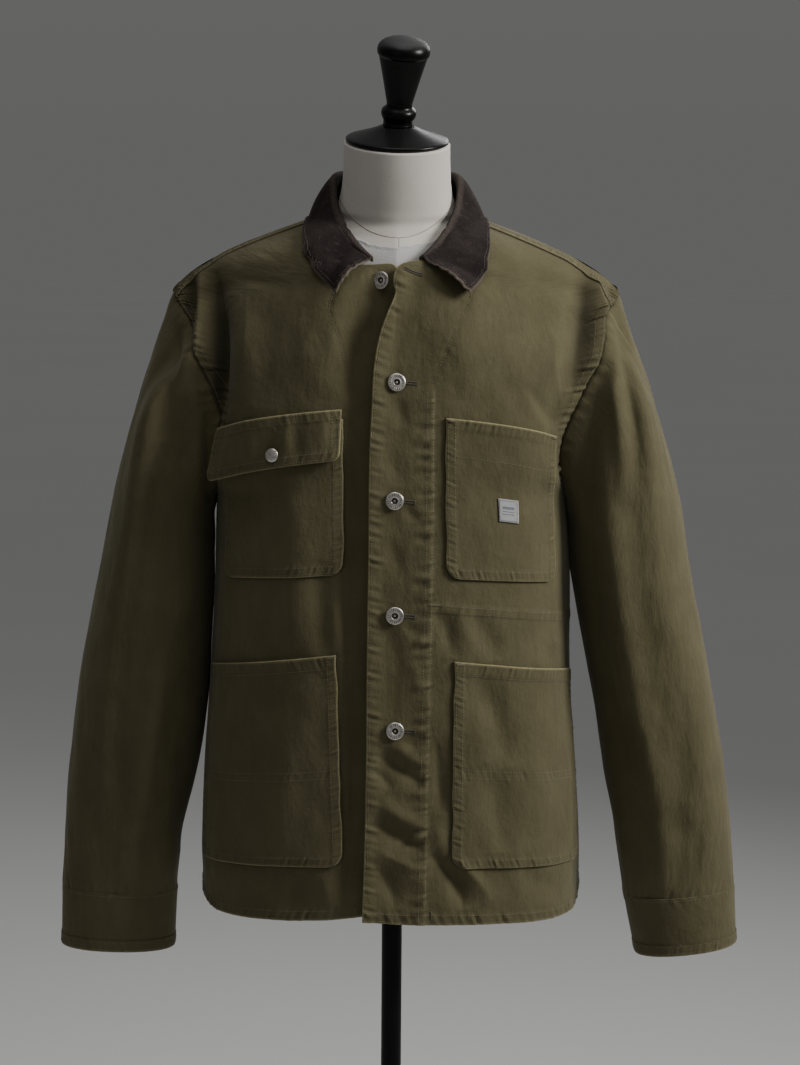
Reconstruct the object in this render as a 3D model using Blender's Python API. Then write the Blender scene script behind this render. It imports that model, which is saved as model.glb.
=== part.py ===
"""Chore jacket standing on a limbless dress form. Metres, +Z up, the front faces -Y.

The jacket is cloth walls cut like the real pieces: fronts, back, sleeves, cuffs,
collar, patch pockets, a flap and a label, with metal buttons. Each panel is a row
of cross sections from its centre line to its side seam or armhole.
"""
import math

import bmesh
import bpy
import numpy as np
from mathutils import Matrix, Vector
from mathutils.bvhtree import BVHTree

# ---- driving sizes
WALL = 0.0018            # duck, turned and pressed
SEAM_GAP = 0.0003        # between pieces at a seam
REST_GAP = 0.0004        # between a piece and the panel that it lies on
UNDERARM_ROW = 1.15      # section row where the side seam ends and the armhole begins
NECK_ROW = 1.42          # section row of the back where the neckline begins
CUFF_TOP = 0.7355        # seam between sleeve and cuff above the floor
BUTTON_RADIUS = 0.0087
BUTTON_REACH = 0.0070    # the cloth within this of a button's middle stays under it
STUD_RADIUS = 0.0068
STUD_REACH = 0.0060
POLE_RADIUS = 0.0102
BASE_RADIUS = 0.165
FORM_FOOT = 0.775        # underside of the torso
CAP_TILT = math.radians(11.5)   # forwards
CAP_LEAN = math.radians(1.6)    # towards the wearer's left
CAP_SEAT = (0.0, -0.0088, 1.4795)
FINIAL_LEAN = (0.0180, 0.0270, math.radians(5.0), math.radians(2.6))  # heights, further forwards and left

LEFT = 1                 # wearer's left is +X
RIGHT = -1


def table(names, *rows):
    """Named columns from rows of numbers."""
    return {name: np.array(column) for name, column in zip(names.split(), zip(*rows))}


# The jacket hangs a little to the wearer's right of the form's axis.
SWAY = table("z x", (0.725, -0.0010), (0.860, -0.0030), (0.970, -0.0040), (1.100, -0.0040),
             (1.180, -0.0045), (1.260, -0.0025), (1.340, 0.0))

# Sections of a front, for the wearer's left. A row runs from the centre line (c) to the
# side seam or armhole (s); hc is the pull away from c, hs the pull at s. Above the neck
# point the rows fan out from the neckline, and the last row is the shoulder seam.
FRONT = table(
    "row    cx     cy      cz     hcx    hcy    hcz     hsx     hsy     hsz    sx      sy      sz",
    (0.725, 0.000, -0.137, 0.7250, 0.138, 0.000, 0.000, 0.000, -0.105, 0.000, 0.1896, 0.004, 0.7262),
    (0.800, 0.000, -0.1375, 0.800, 0.138, 0.000, -0.006, 0.001, -0.105, 0.006, 0.1900, 0.004, 0.7850),
    (0.870, 0.000, -0.138, 0.8700, 0.135, 0.000, -0.008, 0.001, -0.103, 0.007, 0.1870, 0.004, 0.8520),
    (0.950, 0.000, -0.1385, 0.950, 0.131, 0.000, -0.008, 0.001, -0.100, 0.007, 0.1812, 0.004, 0.9300),
    (1.050, 0.000, -0.138, 1.0500, 0.127, 0.000, -0.009, 0.001, -0.098, 0.008, 0.1756, 0.004, 1.0290),
    (1.140, 0.000, -0.1356, 1.140, 0.124, 0.000, -0.010, 0.001, -0.093, 0.008, 0.1737, 0.004, 1.1181),
    (1.150, 0.000, -0.135, 1.1500, 0.124, 0.000, -0.010, 0.001, -0.092, 0.008, 0.1735, 0.004, 1.1280),
    (1.185, 0.000, -0.132, 1.1850, 0.122, 0.000, -0.009, 0.004, -0.055, 0.010, 0.1675, -0.044, 1.1510),
    (1.220, 0.000, -0.128, 1.2200, 0.112, 0.000, -0.006, -0.010, -0.044, 0.010, 0.1690, -0.066, 1.1910),
    (1.260, 0.000, -0.1215, 1.260, 0.100, -0.003, -0.004, -0.034, -0.033, 0.008, 0.1780, -0.073, 1.2340),
    (1.300, 0.000, -0.1125, 1.300, 0.085, -0.009, -0.002, -0.052, -0.030, 0.006, 0.1900, -0.066, 1.2750),
    (1.335, 0.000, -0.1025, 1.335, 0.070, -0.012, 0.000, -0.060, -0.038, 0.006, 0.2030, -0.043, 1.3070),
    (1.366, 0.000, -0.090, 1.3660, 0.060, -0.012, -0.008, -0.055, -0.034, 0.016, 0.2095, -0.030, 1.3170),
    (1.385, 0.028, -0.083, 1.3720, 0.048, -0.011, -0.008, -0.055, -0.027, 0.021, 0.2135, -0.022, 1.3220),
    (1.410, 0.054, -0.062, 1.3850, 0.048, -0.009, -0.010, -0.044, -0.018, 0.030, 0.2170, -0.015, 1.3270),
    (1.430, 0.069, -0.034, 1.3970, 0.046, -0.005, -0.014, -0.030, -0.008, 0.034, 0.2192, -0.010, 1.3300),
    (1.450, 0.076, -0.006, 1.4065, 0.050, 0.000, -0.018, -0.018, 0.000, 0.034, 0.2205, -0.005, 1.3320),
)
BACK = table(
    "row    cx     cy      cz     hcx    hcy    hcz     hsx     hsy     hsz    sx      sy      sz",
    (0.725, 0.000, 0.118, 0.7250, 0.128, 0.000, 0.000, 0.000, 0.084, 0.000, 0.1896, 0.004, 0.7262),
    (0.800, 0.000, 0.1185, 0.800, 0.128, 0.000, -0.006, 0.001, 0.084, 0.006, 0.1900, 0.004, 0.7850),
    (0.870, 0.000, 0.1185, 0.870, 0.126, 0.000, -0.008, 0.001, 0.084, 0.007, 0.1870, 0.004, 0.8520),
    (0.950, 0.000, 0.118, 0.9500, 0.122, 0.000, -0.008, 0.001, 0.083, 0.007, 0.1812, 0.004, 0.9300),
    (1.050, 0.000, 0.118, 1.0500, 0.120, 0.000, -0.009, 0.001, 0.083, 0.008, 0.1756, 0.004, 1.0290),
    (1.140, 0.000, 0.1198, 1.1400, 0.118, 0.000, -0.010, 0.001, 0.080, 0.008, 0.1737, 0.004, 1.1181),
    (1.150, 0.000, 0.120, 1.1500, 0.118, 0.000, -0.010, 0.001, 0.080, 0.008, 0.1735, 0.004, 1.1280),
    (1.190, 0.000, 0.1215, 1.190, 0.116, 0.000, -0.011, 0.004, 0.046, 0.010, 0.1680, 0.048, 1.1500),
    (1.230, 0.000, 0.1215, 1.230, 0.108, 0.000, -0.010, -0.010, 0.034, 0.010, 0.1710, 0.073, 1.1880),
    (1.280, 0.000, 0.119, 1.2800, 0.098, 0.002, -0.010, -0.034, 0.026, 0.010, 0.1815, 0.082, 1.2380),
    (1.330, 0.000, 0.112, 1.3300, 0.088, 0.003, -0.008, -0.050, 0.026, 0.012, 0.1945, 0.075, 1.2830),
    (1.370, 0.000, 0.100, 1.3700, 0.078, 0.004, -0.005, -0.055, 0.030, 0.018, 0.2050, 0.054, 1.3110),
    (1.400, 0.000, 0.087, 1.3990, 0.068, 0.004, -0.005, -0.055, 0.030, 0.024, 0.2115, 0.034, 1.3230),
    (1.420, 0.000, 0.075, 1.4170, 0.055, 0.000, -0.003, -0.052, 0.024, 0.028, 0.2155, 0.020, 1.3280),
    (1.435, 0.034, 0.067, 1.4150, 0.048, -0.003, -0.008, -0.042, 0.016, 0.033, 0.2180, 0.010, 1.3305),
    (1.450, 0.062, 0.040, 1.4110, 0.048, -0.003, -0.012, -0.030, 0.008, 0.035, 0.2195, 0.002, 1.3318),
    (1.465, 0.076, -0.006, 1.4065, 0.050, 0.000, -0.018, -0.018, 0.000, 0.034, 0.2205, -0.005, 1.3320),
)
SIDE_ROWS = (0.725, 0.757, 0.784, 0.830, 0.880, 0.930, 0.990, 1.030, 1.069, 1.110, UNDERARM_ROW)
FRONT_ROWS = SIDE_ROWS + (1.185, 1.222, 1.260, 1.300, 1.335, 1.366, 1.385, 1.410, 1.430, 1.450)
BACK_ROWS = SIDE_ROWS + (1.190, 1.230, 1.280, 1.330, 1.370, 1.400, NECK_ROW, 1.435, 1.450, 1.465)
# Columns of the panels: distances along the cloth below the shoulders, where pockets
# begin and end, and shares of the row's length at the shoulder.
FRONT_COLUMNS = table("along share", (0.0, 0.0), (0.024, 0.10), (0.0485, 0.20), (0.080, 0.33),
                      (0.110, 0.46), (0.140, 0.58), (0.169, 0.69), (0.195, 0.79), (0.221, 0.87),
                      (0.252, 0.94))
BACK_COLUMNS = table("along share", (0.0, 0.0), (0.045, 0.18), (0.090, 0.36), (0.130, 0.54),
                     (0.165, 0.70), (0.200, 0.82), (0.235, 0.92))
SQUEEZE_FROM = 0.169     # columns past this squeeze in where the armhole makes a row short
SQUEEZE_LEFT = 0.012     # and the last one stays this far from the armhole
EDGE_STEP = 0.004        # least distance between a front edge and the next column
SHARES_FROM = (1.220, 1.300)   # rows over which the columns turn from distances to shares

# Front edges: how far each front passes the centre line, against the section row.
OVER_EDGE = table("row x", (0.725, 0.0270), (0.857, 0.0225), (1.054, 0.0205), (1.229, 0.0185),
                  (1.273, 0.0175), (1.296, 0.0140), (1.335, 0.0020), (1.366, -0.0040),
                  (1.385, 0.0), (1.450, 0.0))
UNDER_EDGE = table("row x", (0.725, 0.0235), (1.229, 0.0220), (1.300, 0.0150), (1.335, 0.0060),
                   (1.366, 0.0010), (1.385, 0.0), (1.450, 0.0))
LAP_REACH = (0.050, 0.110)   # across: the over front lies its own wall further out, then not
LAP_TOP = (1.366, 1.385)     # and the same by row

# Soft folds in front of the armholes: x, z and depth along a trough on a front panel.
ARM_TROUGH = table("z x depth", (1.150, 0.160, 0.000), (1.185, 0.160, 0.003), (1.240, 0.164, 0.006),
                   (1.300, 0.174, 0.007), (1.340, 0.182, 0.004), (1.370, 0.186, 0.000))
TROUGH_WIDTH = 0.013

# Patch pockets: distances along the cloth from the centre line, and rows of the panel.
POCKETS = {
    "chest_pocket_left": dict(side=LEFT, inner_top=0.0525, inner_foot=0.0540, outer=0.1765,
                              foot=1.0690, top=1.2220, corner=0.014),
    "chest_pocket_right": dict(side=RIGHT, inner_top=0.0455, inner_foot=0.0450, outer=0.1820,
                               foot=1.0710, top=1.2200, corner=0.013),
    "lower_pocket_left": dict(side=LEFT, inner_top=0.0625, inner_foot=0.0600, outer=0.2210,
                              foot=0.7840, top=0.9850, corner=0.014),
    "lower_pocket_right": dict(side=RIGHT, inner_top=0.0510, inner_foot=0.0460, outer=0.2210,
                               foot=0.7840, top=0.9890, corner=0.014),
}
FLAP = dict(inner=0.0475, outer=0.1845, foot=1.1815, top=1.2290, corner=0.008, flare=0.0035)
LABEL = dict(inner=0.1045, outer=0.1255, foot=1.1275, top=1.1495)
LABEL_WALL = 0.0006
LINE_CLEAR = 0.001       # least distance between two lines of a patch

# Sleeves below the armhole: the height of a ring, its centre, half width, half depth and
# slant (rise towards the outside).
SLEEVES = {
    LEFT: table("z x y wide deep slant",
                (1.095, 0.2330, 0.002, 0.0550, 0.0745, 0.25), (1.000, 0.2479, -0.002, 0.0584, 0.0700, 0.12),
                (0.915, 0.2625, -0.006, 0.0600, 0.0640, 0.06), (0.840, 0.2754, -0.011, 0.0589, 0.0570, 0.06),
                (0.770, 0.2854, -0.016, 0.0564, 0.0500, 0.08), (0.7355, 0.2890, -0.018, 0.0550, 0.0465, 0.09),
                (0.6780, 0.2962, -0.021, 0.0504, 0.0420, 0.12)),
    RIGHT: table("z x y wide deep slant",
                 (1.095, 0.2345, 0.002, 0.0500, 0.0745, 0.25), (1.000, 0.2460, -0.002, 0.0578, 0.0700, 0.12),
                 (0.915, 0.2558, -0.006, 0.0622, 0.0640, 0.06), (0.840, 0.2643, -0.011, 0.0618, 0.0570, 0.03),
                 (0.770, 0.2718, -0.016, 0.0584, 0.0500, 0.03), (0.7355, 0.2738, -0.018, 0.0573, 0.0465, 0.03),
                 (0.6770, 0.2757, -0.021, 0.0563, 0.0420, 0.02)),
}
CAP_STEPS = (0.05, 0.13, 0.25, 0.40, 0.58, 0.78, 1.0)
SLEEVE_LEVELS = (1.050, 1.000, 0.950, 0.900, 0.850, 0.800, 0.765, CUFF_TOP + SEAM_GAP)
# Where the sleeve leaves the armhole, from the shoulder tip (0) round the front or the
# back to the underarm (1): its direction outwards and down.
LEAVING = table("at out down", (0.0, 0.31, 0.95), (0.35, 0.80, 0.55), (0.60, 0.85, 0.55),
                (0.85, 0.50, 0.85), (1.0, 0.22, 0.97))
CAP_PULL = (0.36, 0.33)  # how strongly a sleeve keeps its direction at the armhole and below
SLEEVE_RIDGE = 0.004     # ridge down the front of a sleeve from the shoulder
RIDGE_SHARE = 0.36       # where it runs, and its width, as shares of the way round
RIDGE_WIDTH = 0.10
SLEEVE_ROUNDNESS = 2.2

# Collar, from the centre back (0) to the front end (1): seam at the neckline (n),
# roll line (r) and outer edge (e).
COLLAR = table(
    "at     nx      ny      nz      rx      ry      rz      ex      ey      ez",
    (0.00, 0.0000, 0.0705, 1.4175, 0.0000, 0.0640, 1.4500, 0.0000, 0.0960, 1.4020),
    (0.14, 0.0310, 0.0622, 1.4160, 0.0260, 0.0570, 1.4490, 0.0430, 0.0870, 1.4040),
    (0.28, 0.0575, 0.0370, 1.4120, 0.0475, 0.0365, 1.4465, 0.0735, 0.0550, 1.4085),
    (0.42, 0.0705, -0.0040, 1.4085, 0.0590, 0.0020, 1.4420, 0.0870, 0.0000, 1.4020),
    (0.56, 0.0640, -0.0330, 1.3995, 0.0580, -0.0240, 1.4170, 0.0880, -0.0330, 1.3820),
    (0.70, 0.0500, -0.0590, 1.3885, 0.0485, -0.0510, 1.3975, 0.0860, -0.0620, 1.3660),
    (0.85, 0.0355, -0.0735, 1.3790, 0.0345, -0.0715, 1.3850, 0.0785, -0.0850, 1.3500),
    (1.00, 0.0225, -0.0845, 1.3715, 0.0220, -0.0850, 1.3760, 0.0640, -0.1060, 1.3350),
)
COLLAR_TWIST = 0.0065    # both points lie this far to the wearer's left
COLLAR_WALL = 0.0024
COLLAR_ROLL = 0.0034     # radius of the roll, at the middle of the wall
COLLAR_BOW = 0.0030      # outward bow of the fall
COLLAR_CLEAR = 0.0026    # the fall stands this far off the fronts and back
COLLAR_STATIONS = 16     # from the centre back to one front end
FALL_POINTS = 5          # from the roll to the outer edge

# Dress form: rings from the foot to the top of the neck. The tilt lowers the front.
FORM = table(
    "z      y       wide    front   back    round  tilt",
    (0.775, 0.000, 0.1480, 0.0900, 0.0840, 2.3, 0.0), (0.783, 0.000, 0.1580, 0.0990, 0.0930, 2.3, 0.0),
    (0.850, 0.000, 0.1620, 0.1030, 0.0980, 2.3, 0.0), (0.950, 0.000, 0.1380, 0.0940, 0.0850, 2.3, 0.0),
    (1.000, 0.000, 0.1310, 0.0930, 0.0800, 2.3, 0.0), (1.080, 0.000, 0.1400, 0.1030, 0.0880, 2.3, 0.0),
    (1.160, 0.000, 0.1540, 0.1130, 0.1000, 2.3, 0.0), (1.220, 0.000, 0.1600, 0.1120, 0.1050, 2.2, 0.0),
    (1.270, 0.000, 0.1660, 0.1030, 0.1060, 2.1, 0.0), (1.310, 0.000, 0.1760, 0.0940, 0.1000, 1.9, 0.0),
    (1.335, 0.002, 0.1840, 0.0920, 0.0920, 1.6, 0.0), (1.350, 0.003, 0.1860, 0.0890, 0.0880, 1.4, 0.0),
    (1.363, 0.004, 0.1800, 0.0860, 0.0840, 1.28, 0.0), (1.374, 0.005, 0.1560, 0.0800, 0.0790, 1.25, 0.0),
    (1.384, 0.006, 0.1330, 0.0725, 0.0730, 1.25, 1.0), (1.393, 0.006, 0.1060, 0.0650, 0.0650, 1.35, 2.5),
    (1.402, 0.005, 0.0680, 0.0580, 0.0580, 1.70, 4.0), (1.414, 0.003, 0.0605, 0.0555, 0.0560, 1.90, 6.0),
    (1.432, -0.001, 0.0548, 0.0535, 0.0545, 2.0, 8.0), (1.454, -0.005, 0.0528, 0.0525, 0.0530, 2.0, 10.2),
    (1.4792, -0.0088, 0.0522, 0.0522, 0.0522, 2.0, 11.5),
)
FORM_SIDES = 28
CHEST_HEIGHT = 1.30      # a shoulder faces away from the axis point at this height
FORM_CLEAR = 0.0005      # between the form and the cloth that rests on it
FORM_BARE = 1.405        # above this the form stands free in the collar

# Turned profiles (radius and height) and their sides.
CAP_SIDES = 28
FINIAL_SIDES = 20
BASE_SIDES = 40
POLE_SIDES = 16
BUTTON_SIDES = 14
STUD_SIDES = 12
CAP_PROFILE = ((0.0, 0.0004), (0.0490, 0.0004), (0.0507, 0.0014), (0.0507, 0.0036), (0.0480, 0.0050),
               (0.0330, 0.0100), (0.0210, 0.0148), (0.0165, 0.0166), (0.0, 0.0166))
FINIAL_PROFILE = ((0.0, 0.0168), (0.0150, 0.0168), (0.0144, 0.0200), (0.0148, 0.0236), (0.0168, 0.0268),
                  (0.0173, 0.0300), (0.0166, 0.0330), (0.0140, 0.0362), (0.0124, 0.0392),
                  (0.0180, 0.0630), (0.0240, 0.0876), (0.0255, 0.0900), (0.0259, 0.0932),
                  (0.0248, 0.0972), (0.0210, 0.1012), (0.0130, 0.1046), (0.0, 0.1062))
BASE_PROFILE = ((0.0, 0.0), (BASE_RADIUS, 0.0), (BASE_RADIUS, 0.010), (BASE_RADIUS - 0.004, 0.014),
                (0.060, 0.019), (0.024, 0.022), (0.0, 0.022))
POLE_PROFILE = ((0.0, 0.0223), (POLE_RADIUS, 0.0223), (POLE_RADIUS, FORM_FOOT - 0.0003),
                (0.0, FORM_FOOT - 0.0003))
BUTTON_PROFILE = ((0.0, 0.0003), (0.0060, 0.0003), (0.0082, 0.0012), (BUTTON_RADIUS, 0.0022),
                  (0.0083, 0.0031), (0.0068, 0.0034), (0.0046, 0.0030), (0.0034, 0.0034),
                  (0.0026, 0.0026), (0.0018, 0.0024), (0.0, 0.0028))
STUD_PROFILE = ((0.0, 0.0003), (0.0050, 0.0003), (0.0066, 0.0009), (STUD_RADIUS, 0.0016),
                (0.0054, 0.0027), (0.0, 0.0034))
# Buttons: the front that each one shows on, distance from the centre line, section row.
BUTTONS = table("front across row", (RIGHT, 0.0130, 1.3490), (LEFT, 0.0040, 1.2520),
                (LEFT, 0.0045, 1.1400), (LEFT, 0.0050, 1.0300), (LEFT, 0.0055, 0.9180))
STUD_ACROSS = 0.1130
STUD_ROW = 1.1940

COLOURS = {
    "duck": ((0.072, 0.062, 0.034), 0.85, 0.0),
    "pile": ((0.030, 0.021, 0.018), 0.90, 0.0),
    "label": ((0.55, 0.54, 0.50), 0.80, 0.0),
    "form_cloth": ((0.62, 0.59, 0.54), 0.90, 0.0),
    "lacquer": ((0.010, 0.010, 0.010), 0.20, 0.0),
    "black_metal": ((0.012, 0.012, 0.012), 0.40, 1.0),
    "button_metal": ((0.60, 0.58, 0.55), 0.32, 1.0),
}


# ---- curves and surfaces
def smooth(knots, values, at):
    """Cubic curve through the values, with each knot's slope from its neighbours."""
    knots = np.asarray(knots, float)
    values = np.asarray(values, float)
    slope = np.gradient(values, knots, axis=0)
    at = np.clip(np.asarray(at, float), knots[0], knots[-1])
    i = np.clip(np.searchsorted(knots, at, side="right") - 1, 0, len(knots) - 2)
    span = knots[i + 1] - knots[i]
    t = (at - knots[i]) / span
    if values.ndim > 1:
        t = t[..., None]
        span = span[..., None]
    start = (2 * t**3 - 3 * t**2 + 1) * values[i] + (t**3 - 2 * t**2 + t) * span * slope[i]
    end = (3 * t**2 - 2 * t**3) * values[i + 1] + (t**3 - t**2) * span * slope[i + 1]
    return start + end


def ease(value, low, high):
    """0 below low, 1 above high, with soft ends."""
    t = np.clip((value - low) / (high - low), 0.0, 1.0)
    return t * t * (3 - 2 * t)


def unit(vectors):
    return vectors / np.maximum(np.linalg.norm(vectors, axis=-1, keepdims=True), 1e-12)


def bezier(control, t):
    """Points of one cubic per row: control is rows x 4 x 3, t is rows x columns."""
    u = 1 - t
    weights = np.stack((u**3, 3 * u**2 * t, 3 * u * t**2, t**3), axis=-1)
    return np.einsum("rck,rkd->rcd", weights, control)


def controls(panel, rows):
    """The four control points of each section."""
    def at(*names):
        return smooth(panel["row"], np.stack([panel[name] for name in names], axis=1), rows)
    start = at("cx", "cy", "cz")
    end = at("sx", "sy", "sz")
    return np.stack((start, start + at("hcx", "hcy", "hcz"), end + at("hsx", "hsy", "hsz"), end), axis=1)


def lengths(control):
    """Running length along each section, at even steps of its parameter."""
    steps = np.linspace(0.0, 1.0, 81)
    dense = bezier(control, np.tile(steps, (len(control), 1)))
    legs = np.linalg.norm(np.diff(dense, axis=1), axis=2)
    return steps, np.concatenate((np.zeros((len(control), 1)), np.cumsum(legs, axis=1)), axis=1)


def section_length(panel, rows):
    return lengths(controls(panel, rows))[1][:, -1]


def on_section(panel, rows, across):
    """Points at distances along the cloth; a negative distance lies past the centre line."""
    control = controls(panel, rows)
    steps, run = lengths(control)
    t = np.array([np.interp(np.abs(a), r, steps) for a, r in zip(across, run)])
    points = bezier(control, t)
    centre = control[:, :1, 0]
    points[..., 0] = np.where(across < 0, 2 * centre - points[..., 0], points[..., 0])
    return points


def surface(panel, rows, across):
    """Points and outward normals of a panel, for the wearer's left."""
    rows = np.asarray(rows, float)
    step = 0.0015
    length = section_length(panel, rows)[:, None]
    points = on_section(panel, rows, across)
    wide = (on_section(panel, rows, np.minimum(across + step, length))
            - on_section(panel, rows, across - step))
    tall = np.zeros_like(points)
    for sign in (1, -1):
        near = np.clip(rows + sign * step, panel["row"][0], panel["row"][-1])
        ratio = section_length(panel, near)[:, None] / length
        tall += sign * on_section(panel, near, across * ratio)
    facing = 1 if panel is FRONT else -1
    return points, facing * unit(np.cross(wide, tall))


def seam_normals(steps):
    """Normals that both panels share along the shoulder seam."""
    total = 0
    for panel in (FRONT, BACK):
        row = panel["row"][-1:]
        across = section_length(panel, row)[:, None] * steps[None, :]
        total = total + surface(panel, row, across)[1][0]
    return unit(total)


def fold_depth(panel, points):
    """How far the soft folds push a panel out (negative is in)."""
    if panel is BACK:
        return np.zeros(points.shape[:-1])
    z = points[..., 2]
    middle = smooth(ARM_TROUGH["z"], ARM_TROUGH["x"], z)
    depth = smooth(ARM_TROUGH["z"], ARM_TROUGH["depth"], z)
    inside = (z > ARM_TROUGH["z"][0]) & (z < ARM_TROUGH["z"][-1])
    return -np.where(inside, depth, 0.0) * np.exp(-((points[..., 0] - middle) / TROUGH_WIDTH) ** 2)


def sway(points, side):
    """Mirrors to the wearer's right where asked, and shifts the skirt sideways."""
    points = points.copy()
    points[..., 0] = side * points[..., 0] + smooth(SWAY["z"], SWAY["x"], points[..., 2])
    return points


def lay_panel(panel, rows, columns, side, edge=None, lift=0.0):
    """A panel's grid: points, normals, and where its columns lie along the cloth."""
    rows = np.asarray(rows, float)
    end = section_length(panel, rows)
    # High on the armhole a row is too short for the distances, so they squeeze in.
    full = columns["along"]
    last = np.minimum(end - SQUEEZE_LEFT, full[-1])[:, None]
    squeeze = (last - SQUEEZE_FROM) / (full[-1] - SQUEEZE_FROM)
    along = np.where(full <= SQUEEZE_FROM, full, SQUEEZE_FROM + (full - SQUEEZE_FROM) * squeeze)
    shares = end[:, None] * columns["share"]
    turn = ease(rows, *SHARES_FROM)[:, None]
    across = along * (1 - turn) + shares * turn
    end = end - np.where(rows <= UNDERARM_ROW, SEAM_GAP / 2, 0.0)
    across = np.concatenate((across, end[:, None]), axis=1)
    if edge is not None:
        start = -smooth(edge["row"], edge["x"], rows)
        across = np.concatenate((start[:, None], across), axis=1)
        # Where the edge lies beside the centre line, the two columns would cross.
        across[:, 1] = np.maximum(across[:, 1], start + EDGE_STEP)
    points, normals = surface(panel, rows, across)
    normals[-1] = seam_normals((across[-1] / end[-1]).clip(0, 1))
    points[-1, :, 1] += (-1 if panel is FRONT else 1) * SEAM_GAP / 2
    lapped = (1 - ease(across, *LAP_REACH)) * (1 - ease(rows, *LAP_TOP))[:, None]
    push = fold_depth(panel, points) + lift * lapped
    points = points + normals * push[..., None]
    normals[..., 0] *= side
    return dict(rows=rows, across=across, points=sway(points, side), normals=normals, side=side)


# ---- meshes
def material(name, colour):
    base, roughness, metallic = COLOURS[colour]
    made = bpy.data.materials.new(name)
    made.use_nodes = True
    shader = made.node_tree.nodes["Principled BSDF"]
    shader.inputs["Base Color"].default_value = (*base, 1.0)
    shader.inputs["Roughness"].default_value = roughness
    shader.inputs["Metallic"].default_value = metallic
    return made


def add_object(name, vertices, faces, colour):
    mesh = bpy.data.meshes.new(name)
    mesh.from_pydata([tuple(v) for v in vertices], [], faces)
    solid = bmesh.new()
    solid.from_mesh(mesh)
    bmesh.ops.recalc_face_normals(solid, faces=solid.faces)
    solid.to_mesh(mesh)
    solid.free()
    mesh.shade_smooth()
    mesh.set_sharp_from_angle(angle=math.radians(40))
    made = bpy.data.objects.new(name, mesh)
    made.data.materials.append(material(name, colour))
    bpy.context.scene.collection.objects.link(made)
    return made


def grid_faces(rows, columns, wrap, first=0):
    """Triangles of a grid of points, all split along the same diagonal."""
    faces = []
    for r in range(rows - 1):
        for c in range(columns if wrap else columns - 1):
            a = first + r * columns + c
            b = first + r * columns + (c + 1) % columns
            faces += [(a, b, b + columns), (a, b + columns, a + columns)]
    return faces


def wall(name, outer, inner, faces, colour):
    """A closed wall: an outer skin, the inner skin behind it, and rims along open edges."""
    count = len(outer)
    used = {}
    for face in faces:
        for a, b in zip(face, face[1:] + face[:1]):
            used[(a, b)] = True
    rims = []
    for a, b in used:
        if (b, a) not in used:
            rims += [(b, a, a + count), (b, a + count, b + count)]
    behind = [tuple(v + count for v in face[::-1]) for face in faces]
    return add_object(name, np.concatenate((outer, inner)), faces + behind + rims, colour)


def grid_wall(name, outer, inner, colour, wrap=False):
    faces = grid_faces(outer.shape[0], outer.shape[1], wrap)
    return wall(name, outer.reshape(-1, 3), inner.reshape(-1, 3), faces, colour)


def inner_skin(laid):
    return laid["points"] - laid["normals"] * WALL


def panel_wall(name, laid):
    return grid_wall(name, laid["points"], inner_skin(laid), "duck")


def back_wall(name, left, right):
    """Both halves of the back in one piece, sharing their centre line below the neckline."""
    rows, columns = left["points"].shape[:2]
    count = rows * columns
    faces = grid_faces(rows, columns, False)
    mirrored = [face[::-1] for face in grid_faces(rows, columns, False, count)]
    open_rows = left["rows"] > NECK_ROW
    shared = {count + r * columns: r * columns for r in range(rows) if not open_rows[r]}
    faces += [tuple(shared.get(v, v) for v in face) for face in mirrored]
    order = sorted({v for face in faces for v in face})
    number = {v: i for i, v in enumerate(order)}
    faces = [tuple(number[v] for v in face) for face in faces]
    outer = np.concatenate([laid["points"].reshape(-1, 3) for laid in (left, right)])[order]
    inner = np.concatenate([inner_skin(laid).reshape(-1, 3) for laid in (left, right)])[order]
    return wall(name, outer, inner, faces, "duck")


def turned(name, profile, sides, colour, placing=None, lean=(0.0, 1.0, 0.0, 0.0)):
    """A solid turned about its own Z, then placed; it leans over between lean's two heights."""
    placing = placing or Matrix()
    low, high, tilt, side = lean

    def put(x, y, height):
        t = min(max((height - low) / (high - low), 0.0), 1.0)
        share = t * t * (3 - 2 * t)
        turn = Matrix.Rotation(side * share, 3, "Y") @ Matrix.Rotation(tilt * share, 3, "X")
        return placing @ (turn @ Vector((x, y, height - low)) + Vector((0, 0, low)))

    vertices = [put(0, 0, profile[0][1])]
    for radius, height in profile[1:-1]:
        for k in range(sides):
            angle = 2 * math.pi * k / sides
            vertices.append(put(radius * math.cos(angle), radius * math.sin(angle), height))
    vertices.append(put(0, 0, profile[-1][1]))
    rings = len(profile) - 2
    faces = grid_faces(rings, sides, True, 1)
    last = len(vertices) - 1
    for k in range(sides):
        following = (k + 1) % sides
        faces.append((0, 1 + following, 1 + k))
        faces.append((last, last - sides + k, last - sides + following))
    return add_object(name, vertices, faces, colour)


# ---- pieces that lie on a panel
def columns_at(laid, rows):
    """Where the panel's columns lie at the given rows."""
    return np.stack([np.interp(rows, laid["rows"], column) for column in laid["across"].T], axis=1)


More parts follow.
